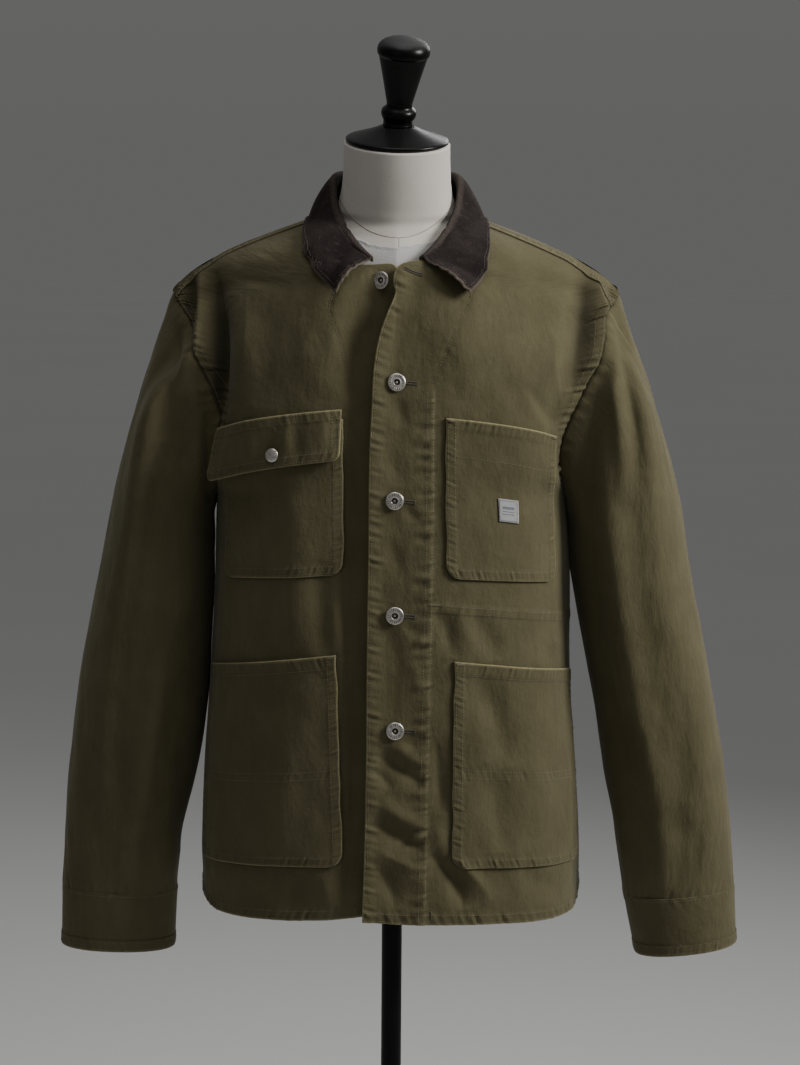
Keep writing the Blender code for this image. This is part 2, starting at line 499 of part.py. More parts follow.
def on_panel(laid, rows, across, outset):
    """Points on a panel's own facets, moved out along its normals."""
    r = np.clip(np.searchsorted(laid["rows"], rows, side="right") - 1, 0, len(laid["rows"]) - 2)
    v = ((rows - laid["rows"][r]) / (laid["rows"][r + 1] - laid["rows"][r]))[:, None]
    lines = columns_at(laid, rows)
    c = (across[:, :, None] >= lines[:, None, :]).sum(axis=2) - 1
    c = np.clip(c, 0, lines.shape[1] - 2)
    low = np.take_along_axis(lines, c, axis=1)
    high = np.take_along_axis(lines, c + 1, axis=1)
    u = (across - low) / (high - low)
    r = np.broadcast_to(r[:, None], c.shape)

    def blend(values):
        a, b = values[r, c], values[r, c + 1]
        d, e = values[r + 1, c], values[r + 1, c + 1]
        upper = a + (e - d) * u[..., None] + (d - a) * v[..., None]
        lower = a + (b - a) * u[..., None] + (e - b) * v[..., None]
        return np.where((u <= v)[..., None], upper, lower)

    out = outset if np.ndim(outset) else np.full(c.shape, outset)
    return blend(laid["points"]) + unit(blend(laid["normals"])) * out[..., None]


def patch_lines(laid, foot, top, left, right, corner):
    """Rows and columns of a patch with rounded lower corners, on its panel's own lines."""
    turn = corner * (1 - np.cos(np.linspace(0, math.pi / 2, 4))) if corner else np.zeros(1)
    inside = (laid["rows"] > foot + corner + LINE_CLEAR) & (laid["rows"] < top - LINE_CLEAR)
    rows = np.concatenate((foot + turn, laid["rows"][inside], [top]))
    inset = np.zeros(len(rows))
    if corner:
        rise = np.clip((rows - foot) / corner, 0, 1)
        inset = corner * (1 - np.sqrt(1 - (1 - rise) ** 2))
    low = left(rows) + inset
    high = right(rows) - inset
    lines = columns_at(laid, rows)
    middle = len(rows) // 2
    kept = [k for k in range(lines.shape[1])
            if low[middle] + 2 * LINE_CLEAR < lines[middle, k] < high[middle] - 2 * LINE_CLEAR]
    across = [low]
    for count, k in enumerate(kept):
        nearest = LINE_CLEAR * (count + 1)
        furthest = LINE_CLEAR * (len(kept) - count)
        across.append(np.clip(lines[:, k], low + nearest, high - furthest))
    across.append(high)
    return rows, np.stack(across, axis=1)


def patch(name, laid, rows, across, inner_out, thickness, colour):
    inner = on_panel(laid, rows, across, inner_out)
    outer = on_panel(laid, rows, across, inner_out + thickness)
    return grid_wall(name, outer, inner, colour)


def pocket(name, laid, size):
    def left(rows):
        share = (rows - size["foot"]) / (size["top"] - size["foot"])
        return size["inner_foot"] + (size["inner_top"] - size["inner_foot"]) * share

    def right(rows):
        return np.full(len(rows), size["outer"])

    rows, across = patch_lines(laid, size["foot"], size["top"], left, right, size["corner"])
    return patch(name, laid, rows, across, REST_GAP, WALL, "duck")


def flap_out(rows):
    """The flap's underside: it stands off the pocket a little more at its foot."""
    hang = 1 - (rows - FLAP["foot"]) / (FLAP["top"] - FLAP["foot"])
    return 2 * REST_GAP + WALL + FLAP["flare"] * hang


def flap(laid):
    rows, across = patch_lines(laid, FLAP["foot"], FLAP["top"],
                               lambda r: np.full(len(r), FLAP["inner"]),
                               lambda r: np.full(len(r), FLAP["outer"]), FLAP["corner"])
    out = flap_out(rows)[:, None] * np.ones(across.shape)
    return patch("pocket_flap", laid, rows, across, out, WALL, "duck")


def label(laid):
    rows, across = patch_lines(laid, LABEL["foot"], LABEL["top"],
                               lambda r: np.full(len(r), LABEL["inner"]),
                               lambda r: np.full(len(r), LABEL["outer"]), 0.0)
    return patch("label", laid, rows, across, 2 * REST_GAP + WALL, LABEL_WALL, "label")


def facing(laid, row, across, outset, reach):
    """A placing on a panel whose Z points out of it, clear of the cloth within reach."""
    around = np.linspace(0, 2 * math.pi, 9)[:-1]
    rows = row + reach * np.concatenate(([0], np.sin(around)))
    sides = across + reach * np.concatenate(([0], np.cos(around)))
    places = np.array([on_panel(laid, np.array([r]), np.array([[a]]), outset(np.array([r])))[0, 0]
                       for r, a in zip(rows, sides)])
    wide = places[1] - places[5]
    tall = places[3] - places[7]
    out = unit(np.cross(wide, tall)) * laid["side"]
    rise = max(float(np.dot(place - places[0], out)) for place in places)
    turn = Vector((0, 0, 1)).rotation_difference(Vector(out))
    return Matrix.Translation(Vector(places[0] + out * rise)) @ turn.to_matrix().to_4x4()


# ---- sleeves
def armhole(front, back):
    """The armhole loop from the shoulder tip down the front and up the back, with each
    point's share of the way round."""
    front_edge = front["points"][front["rows"] >= UNDERARM_ROW, -1][::-1]
    back_edge = back["points"][back["rows"] >= UNDERARM_ROW, -1]
    tip = (front_edge[0] + back_edge[-1]) / 2
    underarm = (front_edge[-1] + back_edge[0]) / 2
    front_run = np.vstack((tip, front_edge[1:-1], underarm))
    back_run = np.vstack((underarm, back_edge[1:-1], tip))
    shares = []
    for run in (front_run, back_run):
        legs = np.linalg.norm(np.diff(run, axis=0), axis=1)
        shares.append(np.concatenate(([0], np.cumsum(legs))) / legs.sum())
    loop = np.vstack((front_run, back_run[1:-1]))
    share = np.concatenate((shares[0], 1 + shares[1][1:-1]))
    loop[:, 0] += front["side"] * SEAM_GAP
    return loop, share


def tube_ring(side, z, share):
    """A sleeve's ring at a height, its points matched to the armhole's."""
    shape = SLEEVES[side]

    # The tables run downwards, and the curve needs rising heights.
    def at(name):
        return float(smooth(shape["z"][::-1], shape[name][::-1], z))

    angle = math.pi * share
    power = 2 / SLEEVE_ROUNDNESS
    across = np.sign(np.cos(angle)) * np.abs(np.cos(angle)) ** power
    along = np.sign(np.sin(angle)) * np.abs(np.sin(angle)) ** power
    x = at("x") + at("wide") * across
    y = at("y") - at("deep") * along
    return np.stack((side * x, y, z + at("slant") * at("wide") * across), axis=1)


def sleeve_rings(side, loop, share, cap_steps, levels):
    top = float(SLEEVES[side]["z"][0])
    first = tube_ring(side, top, share)
    below = tube_ring(side, top - 0.02, share)
    way = 1 - np.abs(1 - share)
    out = smooth(LEAVING["at"], LEAVING["out"], way)
    down = smooth(LEAVING["at"], LEAVING["down"], way)
    reach = np.linalg.norm(first - loop, axis=1)[:, None]
    leaving = unit(np.stack((side * out, np.zeros_like(out), -down), axis=1))
    control = np.stack((loop, loop + CAP_PULL[0] * reach * leaving,
                        first + CAP_PULL[1] * reach * unit(first - below), first), axis=1)
    steps = np.concatenate(([0.0], cap_steps))
    cap = bezier(control, np.tile(steps, (len(loop), 1))).transpose(1, 0, 2)
    rings = np.concatenate((cap, [tube_ring(side, z, share) for z in levels]))
    fade = np.concatenate((steps, 1 - np.linspace(0, 1, len(levels))))
    across = np.exp(-((share - RIDGE_SHARE) / RIDGE_WIDTH) ** 2)
    rings[..., 1] -= SLEEVE_RIDGE * fade[:, None] * across[None, :]
    return rings


def ring_normals(rings, side):
    """Outward normals of a tube of rings that run from the top down."""
    wide = np.roll(rings, -1, axis=1) - np.roll(rings, 1, axis=1)
    tall = np.gradient(rings, axis=0)
    return side * unit(np.cross(wide, tall))


def sleeve(name, side, loop, share):
    rings = sleeve_rings(side, loop, share, CAP_STEPS, SLEEVE_LEVELS)
    inner = rings - ring_normals(rings, side) * WALL
    middle = loop.mean(axis=0)
    inward = middle - loop
    inward[:, 0] = 0
    inner[0] = rings[0] + unit(inward) * WALL
    return grid_wall(name, rings, inner, "duck", wrap=True)


def cuff(name, side, share):
    foot = float(SLEEVES[side]["z"][-1])
    levels = np.linspace(CUFF_TOP, foot, 4)
    rings = np.array([tube_ring(side, z, share) for z in levels])
    return grid_wall(name, rings, rings - ring_normals(rings, side) * WALL, "duck", wrap=True)


# ---- clearance
def tree_of(grids):
    """A search tree over open grids of points."""
    vertices = []
    faces = []
    for grid in grids:
        faces += grid_faces(grid.shape[0], grid.shape[1], False, len(vertices))
        vertices += [Vector(p) for p in grid.reshape(-1, 3)]
    return BVHTree.FromPolygons(vertices, faces)


def keep_off(points, tree, inside, clearance):
    """Moves points that lie too near a surface away from it, towards the inside point's
    side when inside is given, else outwards."""
    moved = points.copy()
    for i, point in enumerate(points.reshape(-1, 3)):
        place, normal, _, _ = tree.find_nearest(Vector(point))
        axis = Vector((0, 0, place.z)) if inside is None else Vector(inside)
        axis.z = min(place.z, CHEST_HEIGHT)
        if normal.dot(place - axis) < 0:
            normal = -normal
        if inside is not None:
            normal = -normal
        height = (Vector(point) - place).dot(normal)
        if height < clearance:
            moved.reshape(-1, 3)[i] = np.array(Vector(point) + normal * (clearance - height))
    return moved


# ---- collar
def collar_paths(stations):
    """The middle of the collar's wall at each station: up the stand, over the roll and
    down the fall. Rows run from the wearer's right front end to the left one."""
    at = np.abs(stations)
    side = np.where(stations < 0, -1.0, 1.0)

    def read(letter):
        points = smooth(COLLAR["at"], np.stack([COLLAR[letter + a] for a in "xyz"], axis=1), at)
        points[:, 0] *= side
        return points

    neck = read("n")
    roll = read("r")
    edge = read("e")
    edge[:, 0] += COLLAR_TWIST * ease(at, 0.6, 1.0)
    up = unit(roll - neck)
    out = edge - roll
    out = unit(out - up * np.sum(out * up, axis=1, keepdims=True))
    path = [neck, (neck + roll) / 2, roll]
    for angle in (math.radians(60), math.radians(120)):
        path.append(roll + COLLAR_ROLL * ((1 - math.cos(angle)) * out + math.sin(angle) * up))
    over = roll + 2 * COLLAR_ROLL * out
    for share in np.linspace(0, 1, FALL_POINTS):
        bow = COLLAR_BOW * math.sin(math.pi * share)
        path.append(over + (edge - over) * share + out * bow)
    return np.stack(path, axis=1)


def collar(tree):
    stations = np.linspace(-1, 1, 2 * COLLAR_STATIONS + 1)
    path = collar_paths(stations)
    along = np.gradient(path, axis=0)
    down = np.gradient(path, axis=1)
    # On the fall this faces outwards, and on the stand towards the neck.
    thick = unit(np.cross(along, down)) * (COLLAR_WALL / 2)
    outer = path + thick
    inner = path - thick
    fall = path.shape[1] - FALL_POINTS + 1
    low = keep_off(inner[:, fall:], tree, None, COLLAR_CLEAR)
    outer[:, fall:] += low - inner[:, fall:]
    inner[:, fall:] = low
    return grid_wall("collar", outer, inner, "pile")


# ---- dress form
def form_ring(index, sides):
    row = {name: float(values[index]) for name, values in FORM.items()}
    angle = np.arange(sides) * 2 * math.pi / sides
    power = 2 / row["round"]
    x = row["wide"] * np.sign(np.cos(angle)) * np.abs(np.cos(angle)) ** power
    depth = np.where(np.sin(angle) < 0, row["front"], row["back"])
    y = depth * np.sign(np.sin(angle)) * np.abs(np.sin(angle)) ** power
    slope = math.tan(math.radians(row["tilt"]))
    lean = math.tan(CAP_LEAN) * slope / math.tan(CAP_TILT)
    return np.stack((x, row["y"] + y, row["z"] + y * slope - x * lean), axis=1)


def form_torso(tree):
    rings = np.array([form_ring(i, FORM_SIDES) for i in range(len(FORM["z"]))])
    hidden = FORM["z"] < FORM_BARE
    rings[hidden] = keep_off(rings[hidden], tree, (0, 0, 0), FORM_CLEAR)
    rings[0, :, 2] = FORM_FOOT
    foot = rings[0].mean(axis=0)
    top = rings[-1].mean(axis=0)
    vertices = [foot, *rings.reshape(-1, 3), top]
    faces = grid_faces(len(rings), FORM_SIDES, True, 1)
    last = len(vertices) - 1
    for k in range(FORM_SIDES):
        following = (k + 1) % FORM_SIDES
        faces.append((0, 1 + following, 1 + k))
        faces.append((last, last - FORM_SIDES + k, last - FORM_SIDES + following))
    return add_object("form_torso", vertices, faces, "form_cloth")


def main():
    for old in list(bpy.data.objects):
        bpy.data.objects.remove(old, do_unlink=True)

    lap = WALL + 2 * REST_GAP
    left = lay_panel(FRONT, FRONT_ROWS, FRONT_COLUMNS, LEFT, OVER_EDGE, lap)
    right = lay_panel(FRONT, FRONT_ROWS, FRONT_COLUMNS, RIGHT, UNDER_EDGE)
    halves = {side: lay_panel(BACK, BACK_ROWS, BACK_COLUMNS, side) for side in (LEFT, RIGHT)}

    panel_wall("front_left", left)
    panel_wall("front_right", right)
    back_wall("back", halves[LEFT], halves[RIGHT])

    fronts = {LEFT: left, RIGHT: right}
    for name, size in POCKETS.items():
        pocket(name, fronts[size["side"]], size)
    flap(right)
    label(left)

    for side, word in ((LEFT, "left"), (RIGHT, "right")):
        loop, share = armhole(fronts[side], halves[side])
        sleeve("sleeve_" + word, side, loop, share)
        cuff("cuff_" + word, side, share)

    panels = (left, right, *halves.values())
    collar(tree_of([laid["points"] for laid in panels]))
    form_torso(tree_of([inner_skin(laid) for laid in panels]))

    for number in range(len(BUTTONS["row"])):
        laid = fronts[int(BUTTONS["front"][number])]
        row = BUTTONS["row"][number]
        placing = facing(laid, row, BUTTONS["across"][number], np.zeros_like, BUTTON_REACH)
        turned("button_%d" % (number + 1), BUTTON_PROFILE, BUTTON_SIDES, "button_metal", placing)
    placing = facing(right, STUD_ROW, STUD_ACROSS, lambda rows: flap_out(rows) + WALL, STUD_REACH)
    turned("flap_stud", STUD_PROFILE, STUD_SIDES, "button_metal", placing)

    seat = (Matrix.Translation(Vector(CAP_SEAT)) @ Matrix.Rotation(CAP_LEAN, 4, "Y")
            @ Matrix.Rotation(CAP_TILT, 4, "X"))
    turned("neck_cap", CAP_PROFILE, CAP_SIDES, "lacquer", seat)
    turned("finial", FINIAL_PROFILE, FINIAL_SIDES, "lacquer", seat, FINIAL_LEAN)
    turned("pole", POLE_PROFILE, POLE_SIDES, "black_metal")
    turned("base", BASE_PROFILE, BASE_SIDES, "black_metal")


main()
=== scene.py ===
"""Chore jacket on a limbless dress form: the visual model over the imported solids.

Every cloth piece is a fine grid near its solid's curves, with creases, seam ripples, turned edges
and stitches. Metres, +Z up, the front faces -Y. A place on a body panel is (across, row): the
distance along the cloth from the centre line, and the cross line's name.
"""
import math
from functools import cached_property

import bpy
import numpy as np
from mathutils import Matrix, Vector
from mathutils.bvhtree import BVHTree


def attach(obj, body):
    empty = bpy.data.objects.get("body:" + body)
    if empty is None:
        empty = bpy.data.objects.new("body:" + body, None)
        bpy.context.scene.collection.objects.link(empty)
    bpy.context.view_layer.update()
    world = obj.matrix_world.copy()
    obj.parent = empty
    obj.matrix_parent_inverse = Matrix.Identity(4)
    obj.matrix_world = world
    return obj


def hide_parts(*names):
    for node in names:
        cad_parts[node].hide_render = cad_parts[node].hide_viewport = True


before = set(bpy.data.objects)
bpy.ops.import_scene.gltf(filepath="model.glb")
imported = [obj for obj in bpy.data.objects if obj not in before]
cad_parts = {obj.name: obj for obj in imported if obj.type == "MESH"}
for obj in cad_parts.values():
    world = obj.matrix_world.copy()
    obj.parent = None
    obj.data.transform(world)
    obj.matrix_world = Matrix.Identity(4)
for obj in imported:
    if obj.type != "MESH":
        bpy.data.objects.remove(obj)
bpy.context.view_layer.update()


def table(names, *rows):
    """Named columns from rows of numbers, in the order of the first column."""
    return dict(zip(names.split(), np.array(sorted(rows)).T))


def points_of(*rows):
    return np.array(rows)


LEFT = 1                 # wearer's left is +X
RIGHT = -1
SIDES = {LEFT: "left", RIGHT: "right"}
WALL = 0.0018
REST_GAP = 0.0004
SEAM_GAP = 0.0003
HEM = 0.725
UNDERARM_ROW = 1.15
CUFF_TOP = 0.7355
CUFF_TUCK = 0.006        # the sleeve runs on this far under the cuff
FORM_FOOT = 0.775

# ---- the jacket's curves, as its solids have them unless a note says otherwise.
# A panel's cross line is a cubic: centre c, its handle hc, the seam's handle hs and the seam s.
SWAY = table("z x", (0.725, -0.001), (0.86, -0.003), (0.97, -0.004), (1.1, -0.004), (1.18, -0.0045),
             (1.26, -0.0025), (1.34, 0))
FRONT = table(
    "row cx cy cz hcx hcy hcz hsx hsy hsz sx sy sz",
    (0.725, 0, -0.137, 0.725, 0.138, 0, 0, 0, -0.105, 0, 0.1896, 0.004, 0.7262),
    (0.8, 0, -0.1375, 0.8, 0.138, 0, -0.006, 0.001, -0.105, 0.006, 0.19, 0.004, 0.785),
    (0.87, 0, -0.138, 0.87, 0.135, 0, -0.008, 0.001, -0.103, 0.007, 0.187, 0.004, 0.852),
    (0.95, 0, -0.1385, 0.95, 0.131, 0, -0.008, 0.001, -0.1, 0.007, 0.1812, 0.004, 0.93),
    (1.05, 0, -0.138, 1.05, 0.127, 0, -0.009, 0.001, -0.098, 0.008, 0.1756, 0.004, 1.029),
    (1.14, 0, -0.1356, 1.14, 0.124, 0, -0.01, 0.001, -0.093, 0.008, 0.1737, 0.004, 1.1181),
    (1.15, 0, -0.135, 1.15, 0.124, 0, -0.01, 0.001, -0.092, 0.008, 0.1735, 0.004, 1.128),
    (1.185, 0, -0.132, 1.185, 0.122, 0, -0.009, 0.004, -0.055, 0.01, 0.1675, -0.044, 1.151),
    (1.22, 0, -0.128, 1.22, 0.112, 0, -0.006, -0.01, -0.044, 0.01, 0.169, -0.066, 1.191),
    (1.26, 0, -0.1215, 1.26, 0.1, -0.003, -0.004, -0.034, -0.033, 0.008, 0.178, -0.073, 1.234),
    (1.3, 0, -0.1125, 1.3, 0.085, -0.009, -0.002, -0.052, -0.03, 0.006, 0.19, -0.066, 1.275),
    (1.335, 0, -0.1025, 1.335, 0.07, -0.012, 0, -0.06, -0.038, 0.006, 0.203, -0.043, 1.307),
    (1.366, 0, -0.09, 1.366, 0.06, -0.012, -0.008, -0.055, -0.034, 0.016, 0.2095, -0.03, 1.317),
    (1.385, 0.028, -0.083, 1.372, 0.048, -0.011, -0.008, -0.055, -0.027, 0.021, 0.2135, -0.022, 1.322),
    (1.41, 0.054, -0.062, 1.385, 0.048, -0.009, -0.01, -0.044, -0.018, 0.03, 0.217, -0.015, 1.327),
    (1.43, 0.069, -0.034, 1.397, 0.046, -0.005, -0.014, -0.03, -0.008, 0.034, 0.2192, -0.01, 1.33),
    (1.45, 0.076, -0.006, 1.4065, 0.05, 0, -0.018, -0.018, 0, 0.034, 0.2205, -0.005, 1.332),
)
BACK = table(
    "row cx cy cz hcx hcy hcz hsx hsy hsz sx sy sz",
    (0.725, 0, 0.118, 0.725, 0.128, 0, 0, 0, 0.084, 0, 0.1896, 0.004, 0.7262),
    (0.8, 0, 0.1185, 0.8, 0.128, 0, -0.006, 0.001, 0.084, 0.006, 0.19, 0.004, 0.785),
    (0.87, 0, 0.1185, 0.87, 0.126, 0, -0.008, 0.001, 0.084, 0.007, 0.187, 0.004, 0.852),
    (0.95, 0, 0.118, 0.95, 0.122, 0, -0.008, 0.001, 0.083, 0.007, 0.1812, 0.004, 0.93),
    (1.05, 0, 0.118, 1.05, 0.12, 0, -0.009, 0.001, 0.083, 0.008, 0.1756, 0.004, 1.029),
    (1.14, 0, 0.1198, 1.14, 0.118, 0, -0.01, 0.001, 0.08, 0.008, 0.1737, 0.004, 1.1181),
    (1.15, 0, 0.12, 1.15, 0.118, 0, -0.01, 0.001, 0.08, 0.008, 0.1735, 0.004, 1.128),
    (1.19, 0, 0.1215, 1.19, 0.116, 0, -0.011, 0.004, 0.046, 0.01, 0.168, 0.048, 1.15),
    (1.23, 0, 0.1215, 1.23, 0.108, 0, -0.01, -0.01, 0.034, 0.01, 0.171, 0.073, 1.188),
    (1.28, 0, 0.119, 1.28, 0.098, 0.002, -0.01, -0.034, 0.026, 0.01, 0.1815, 0.082, 1.238),
    (1.33, 0, 0.112, 1.33, 0.088, 0.003, -0.008, -0.05, 0.026, 0.012, 0.1945, 0.075, 1.283),
    (1.37, 0, 0.1, 1.37, 0.078, 0.004, -0.005, -0.055, 0.03, 0.018, 0.205, 0.054, 1.311),
    (1.4, 0, 0.087, 1.399, 0.068, 0.004, -0.005, -0.055, 0.03, 0.024, 0.2115, 0.034, 1.323),
    (1.42, 0, 0.075, 1.417, 0.055, 0, -0.003, -0.052, 0.024, 0.028, 0.2155, 0.02, 1.328),
    (1.435, 0.034, 0.067, 1.415, 0.048, -0.003, -0.008, -0.042, 0.016, 0.033, 0.218, 0.01, 1.3305),
    (1.45, 0.062, 0.04, 1.411, 0.048, -0.003, -0.012, -0.03, 0.008, 0.035, 0.2195, 0.002, 1.3318),
    (1.465, 0.076, -0.006, 1.4065, 0.05, 0, -0.018, -0.018, 0, 0.034, 0.2205, -0.005, 1.332),
)
OVER_EDGE = table("row x", (0.725, 0.027), (0.857, 0.0225), (1.054, 0.0205), (1.229, 0.0185),
                  (1.273, 0.0175), (1.296, 0.014), (1.335, 0.002), (1.366, -0.004), (1.385, 0),
                  (1.45, 0))
UNDER_EDGE = table("row x", (0.725, 0.0235), (1.229, 0.022), (1.3, 0.015), (1.335, 0.004),
                   (1.366, -0.004), (1.385, -0.005), (1.45, 0))
LAP = WALL + 2 * REST_GAP    # the over front lies this much further out
LAP_REACH = (0.05, 0.11)
LAP_TOP = (1.378, 1.402)
# The over front's free edge stands off, and the under front hangs back: in the scene alone.
LAP_CURL = table("row out", (0.725, 0.0045), (0.85, 0.0036), (0.96, 0.0042), (1.08, 0.0034),
                 (1.19, 0.0042), (1.27, 0.005), (1.335, 0.0068), (1.366, 0.006), (1.4, 0), (1.45, 0))
CURL_WIDTH = 0.0125
LAP_SINK = table("row in", (0.725, 0.003), (0.9, 0.0034), (1.08, 0.0034), (1.19, 0.0042),
                 (1.25, 0.0075), (1.3, 0.01), (1.335, 0.0092), (1.36, 0.0068), (1.38, 0.004),
                 (1.405, 0), (1.45, 0))
SINK_REACH = (0.022, 0.062)
ARM_TROUGH = table("z x depth", (1.15, 0.16, 0), (1.185, 0.16, 0.003), (1.24, 0.164, 0.006),
                   (1.3, 0.174, 0.007), (1.34, 0.182, 0.004), (1.37, 0.186, 0))
TROUGH_WIDTH = 0.013
# The armhole seams, the neckline and the hem don't hang evenly: shifts outwards or up.
SEAM_SHIFT = {LEFT: table("row out", (0.95, 0.0), (1.0, 0.002), (1.06, 0.0045), (1.11, 0.004),
                          (1.15, 0.0015), (1.206, -0.0015), (1.246, 0.0027), (1.275, 0.0075),
                          (1.296, 0.0105), (1.315, 0.006), (1.336, -0.0015), (1.366, 0), (1.465, 0)),
              RIGHT: table("row out", (1.15, 0), (1.2, 0.002), (1.241, 0.001), (1.275, -0.001),
                           (1.306, 0.003), (1.335, 0.001), (1.366, 0), (1.465, 0))}
NECK_SHIFT = {LEFT: table("row up", (1.32, 0.0), (1.366, -0.0075), (1.385, -0.007), (1.41, 0.0), (1.45, 0.0)),
              RIGHT: table("row up", (1.32, 0), (1.366, 0.003), (1.385, -0.006), (1.41, 0), (1.45, 0))}
HEM_SHIFT = {"front_left": table("across up", (-0.03, 0.0045), (0.01, 0.001), (0.06, 0), (0.12, -0.0015),
                                 (0.17, -0.0035), (0.215, -0.003), (0.245, 0.006), (0.28, 0.017)),
             "front_right": table("across up", (-0.03, 0.0085), (0.02, 0.008), (0.06, 0.0035), (0.1, 0.0005),
                                  (0.14, -0.0005), (0.19, -0.001), (0.24, 0.005), (0.28, 0.015)),
             "back_left": table("across up", (0, 0), (0.08, -0.0015), (0.15, 0.001), (0.21, 0.005),
                                (0.26, 0.016)),
             "back_right": table("across up", (0, 0), (0.07, 0.0015), (0.14, -0.001), (0.21, 0.005),
                                 (0.26, 0.014))}
# The sleeves' middles and widths are those of the solids, but for the inner sides.
SLEEVES = {
    LEFT: table("z x y wide deep slant", (1.095, 0.2296, 0.002, 0.0584, 0.0745, 0.25),
                (1.05, 0.2372, 0, 0.0592, 0.0724, 0.18), (1, 0.2464, -0.002, 0.0599, 0.07, 0.12),
                (0.915, 0.2625, -0.006, 0.06, 0.064, 0.06), (0.84, 0.2754, -0.011, 0.0589, 0.057, 0.06),
                (0.77, 0.2854, -0.016, 0.0564, 0.05, 0.08),
                (0.7355, 0.289, -0.018, 0.055, 0.0465, 0.09),
                (0.678, 0.2962, -0.021, 0.0504, 0.042, 0.12)),
    RIGHT: table("z x y wide deep slant", (1.095, 0.232, 0.002, 0.0525, 0.0745, 0.25),
                 (1, 0.2433, -0.002, 0.0605, 0.07, 0.12), (0.915, 0.2533, -0.006, 0.0647, 0.064, 0.06),
                 (0.84, 0.2625, -0.011, 0.0636, 0.057, 0.03),
                 (0.77, 0.2718, -0.016, 0.0584, 0.05, 0.03),
                 (0.7355, 0.2738, -0.018, 0.0573, 0.0465, 0.03),
                 (0.677, 0.2757, -0.021, 0.0563, 0.042, 0.02)),
}
LEAVING = table("at out down", (0, 0.31, 0.95), (0.35, 0.8, 0.55), (0.6, 0.85, 0.55), (0.85, 0.5, 0.85),
                (1, 0.22, 0.97))
CAP_PULL = (0.36, 0.33)
SLEEVE_RIDGE = 0.004
RIDGE_SHARE = 0.36
RIDGE_WIDTH = 0.1
SLEEVE_ROUNDNESS = 2.2
SLEEVE_FREE = 1.115      # below this a sleeve is kept clear of the body
SLEEVE_NEAR = 0.24
SLEEVE_CLEAR = 0.0008
COLLAR = table(
    "at nx ny nz rx ry rz ex ey ez",
    (0, 0, 0.0705, 1.4175, 0, 0.064, 1.45, 0, 0.096, 1.402),
    (0.14, 0.031, 0.0622, 1.416, 0.026, 0.057, 1.449, 0.043, 0.087, 1.404),
    (0.28, 0.0575, 0.037, 1.412, 0.0475, 0.0365, 1.4465, 0.0735, 0.055, 1.4085),
    (0.42, 0.0705, -0.004, 1.4085, 0.059, 0.002, 1.442, 0.087, 0, 1.402),
    (0.56, 0.064, -0.033, 1.3995, 0.058, -0.024, 1.417, 0.088, -0.033, 1.382),
    (0.7, 0.05, -0.059, 1.3885, 0.0485, -0.051, 1.3975, 0.086, -0.062, 1.366),
    (0.85, 0.0355, -0.0735, 1.375, 0.0355, -0.0725, 1.38, 0.0785, -0.085, 1.35),
    (1, 0.0225, -0.0855, 1.3655, 0.0225, -0.0868, 1.3685, 0.064, -0.106, 1.335),
)
COLLAR_TWIST = 0.0065
COLLAR_WALL = 0.0024
COLLAR_ROLL = 0.0034
COLLAR_BOW = 0.003
COLLAR_HOLLOW = {LEFT: 0.001, RIGHT: 0.003}
COLLAR_LIFT = {LEFT: 0.012, RIGHT: 0.0075}
COLLAR_CLEAR = 0.0026
FORM = table(
    "z y wide front back round tilt",
    (0.775, 0, 0.148, 0.09, 0.084, 2.3, 0), (0.783, 0, 0.158, 0.099, 0.093, 2.3, 0),
    (0.85, 0, 0.162, 0.103, 0.098, 2.3, 0), (0.95, 0, 0.138, 0.094, 0.085, 2.3, 0),
    (1, 0, 0.131, 0.093, 0.08, 2.3, 0), (1.08, 0, 0.14, 0.103, 0.088, 2.3, 0),
    (1.16, 0, 0.154, 0.113, 0.1, 2.3, 0), (1.22, 0, 0.16, 0.112, 0.105, 2.2, 0),
    (1.27, 0, 0.166, 0.103, 0.106, 2.1, 0), (1.31, 0, 0.176, 0.094, 0.1, 1.9, 0),
    (1.335, 0.002, 0.184, 0.092, 0.092, 1.6, 0), (1.35, 0.003, 0.186, 0.089, 0.088, 1.4, 0),
    (1.363, 0.004, 0.18, 0.086, 0.084, 1.28, 0), (1.374, 0.005, 0.156, 0.08, 0.079, 1.25, 0),
    (1.384, 0.006, 0.133, 0.0725, 0.073, 1.25, 1), (1.393, 0.006, 0.106, 0.065, 0.065, 1.35, 2.5),
    (1.402, 0.005, 0.068, 0.058, 0.058, 1.7, 4), (1.414, 0.003, 0.0605, 0.0555, 0.056, 1.9, 6),
    (1.432, -0.001, 0.0548, 0.0535, 0.0545, 2, 8), (1.454, -0.005, 0.0528, 0.0525, 0.053, 2, 10.2),
    (1.4792, -0.0088, 0.0522, 0.0522, 0.0522, 2, 11.5),
)
FORM_CLEAR = 0.0005
FORM_BARE = 1.405
CHEST_HEIGHT = 1.3
CAP_TILT = math.radians(11.5)
CAP_LEAN = math.radians(1.6)
CAP_SEAT = (0.0, -0.0088, 1.4795)
FINIAL_LEAN = (0.018, 0.027, math.radians(5.0), math.radians(2.6))
POLE_RADIUS = 0.0102
BASE_RADIUS = 0.165

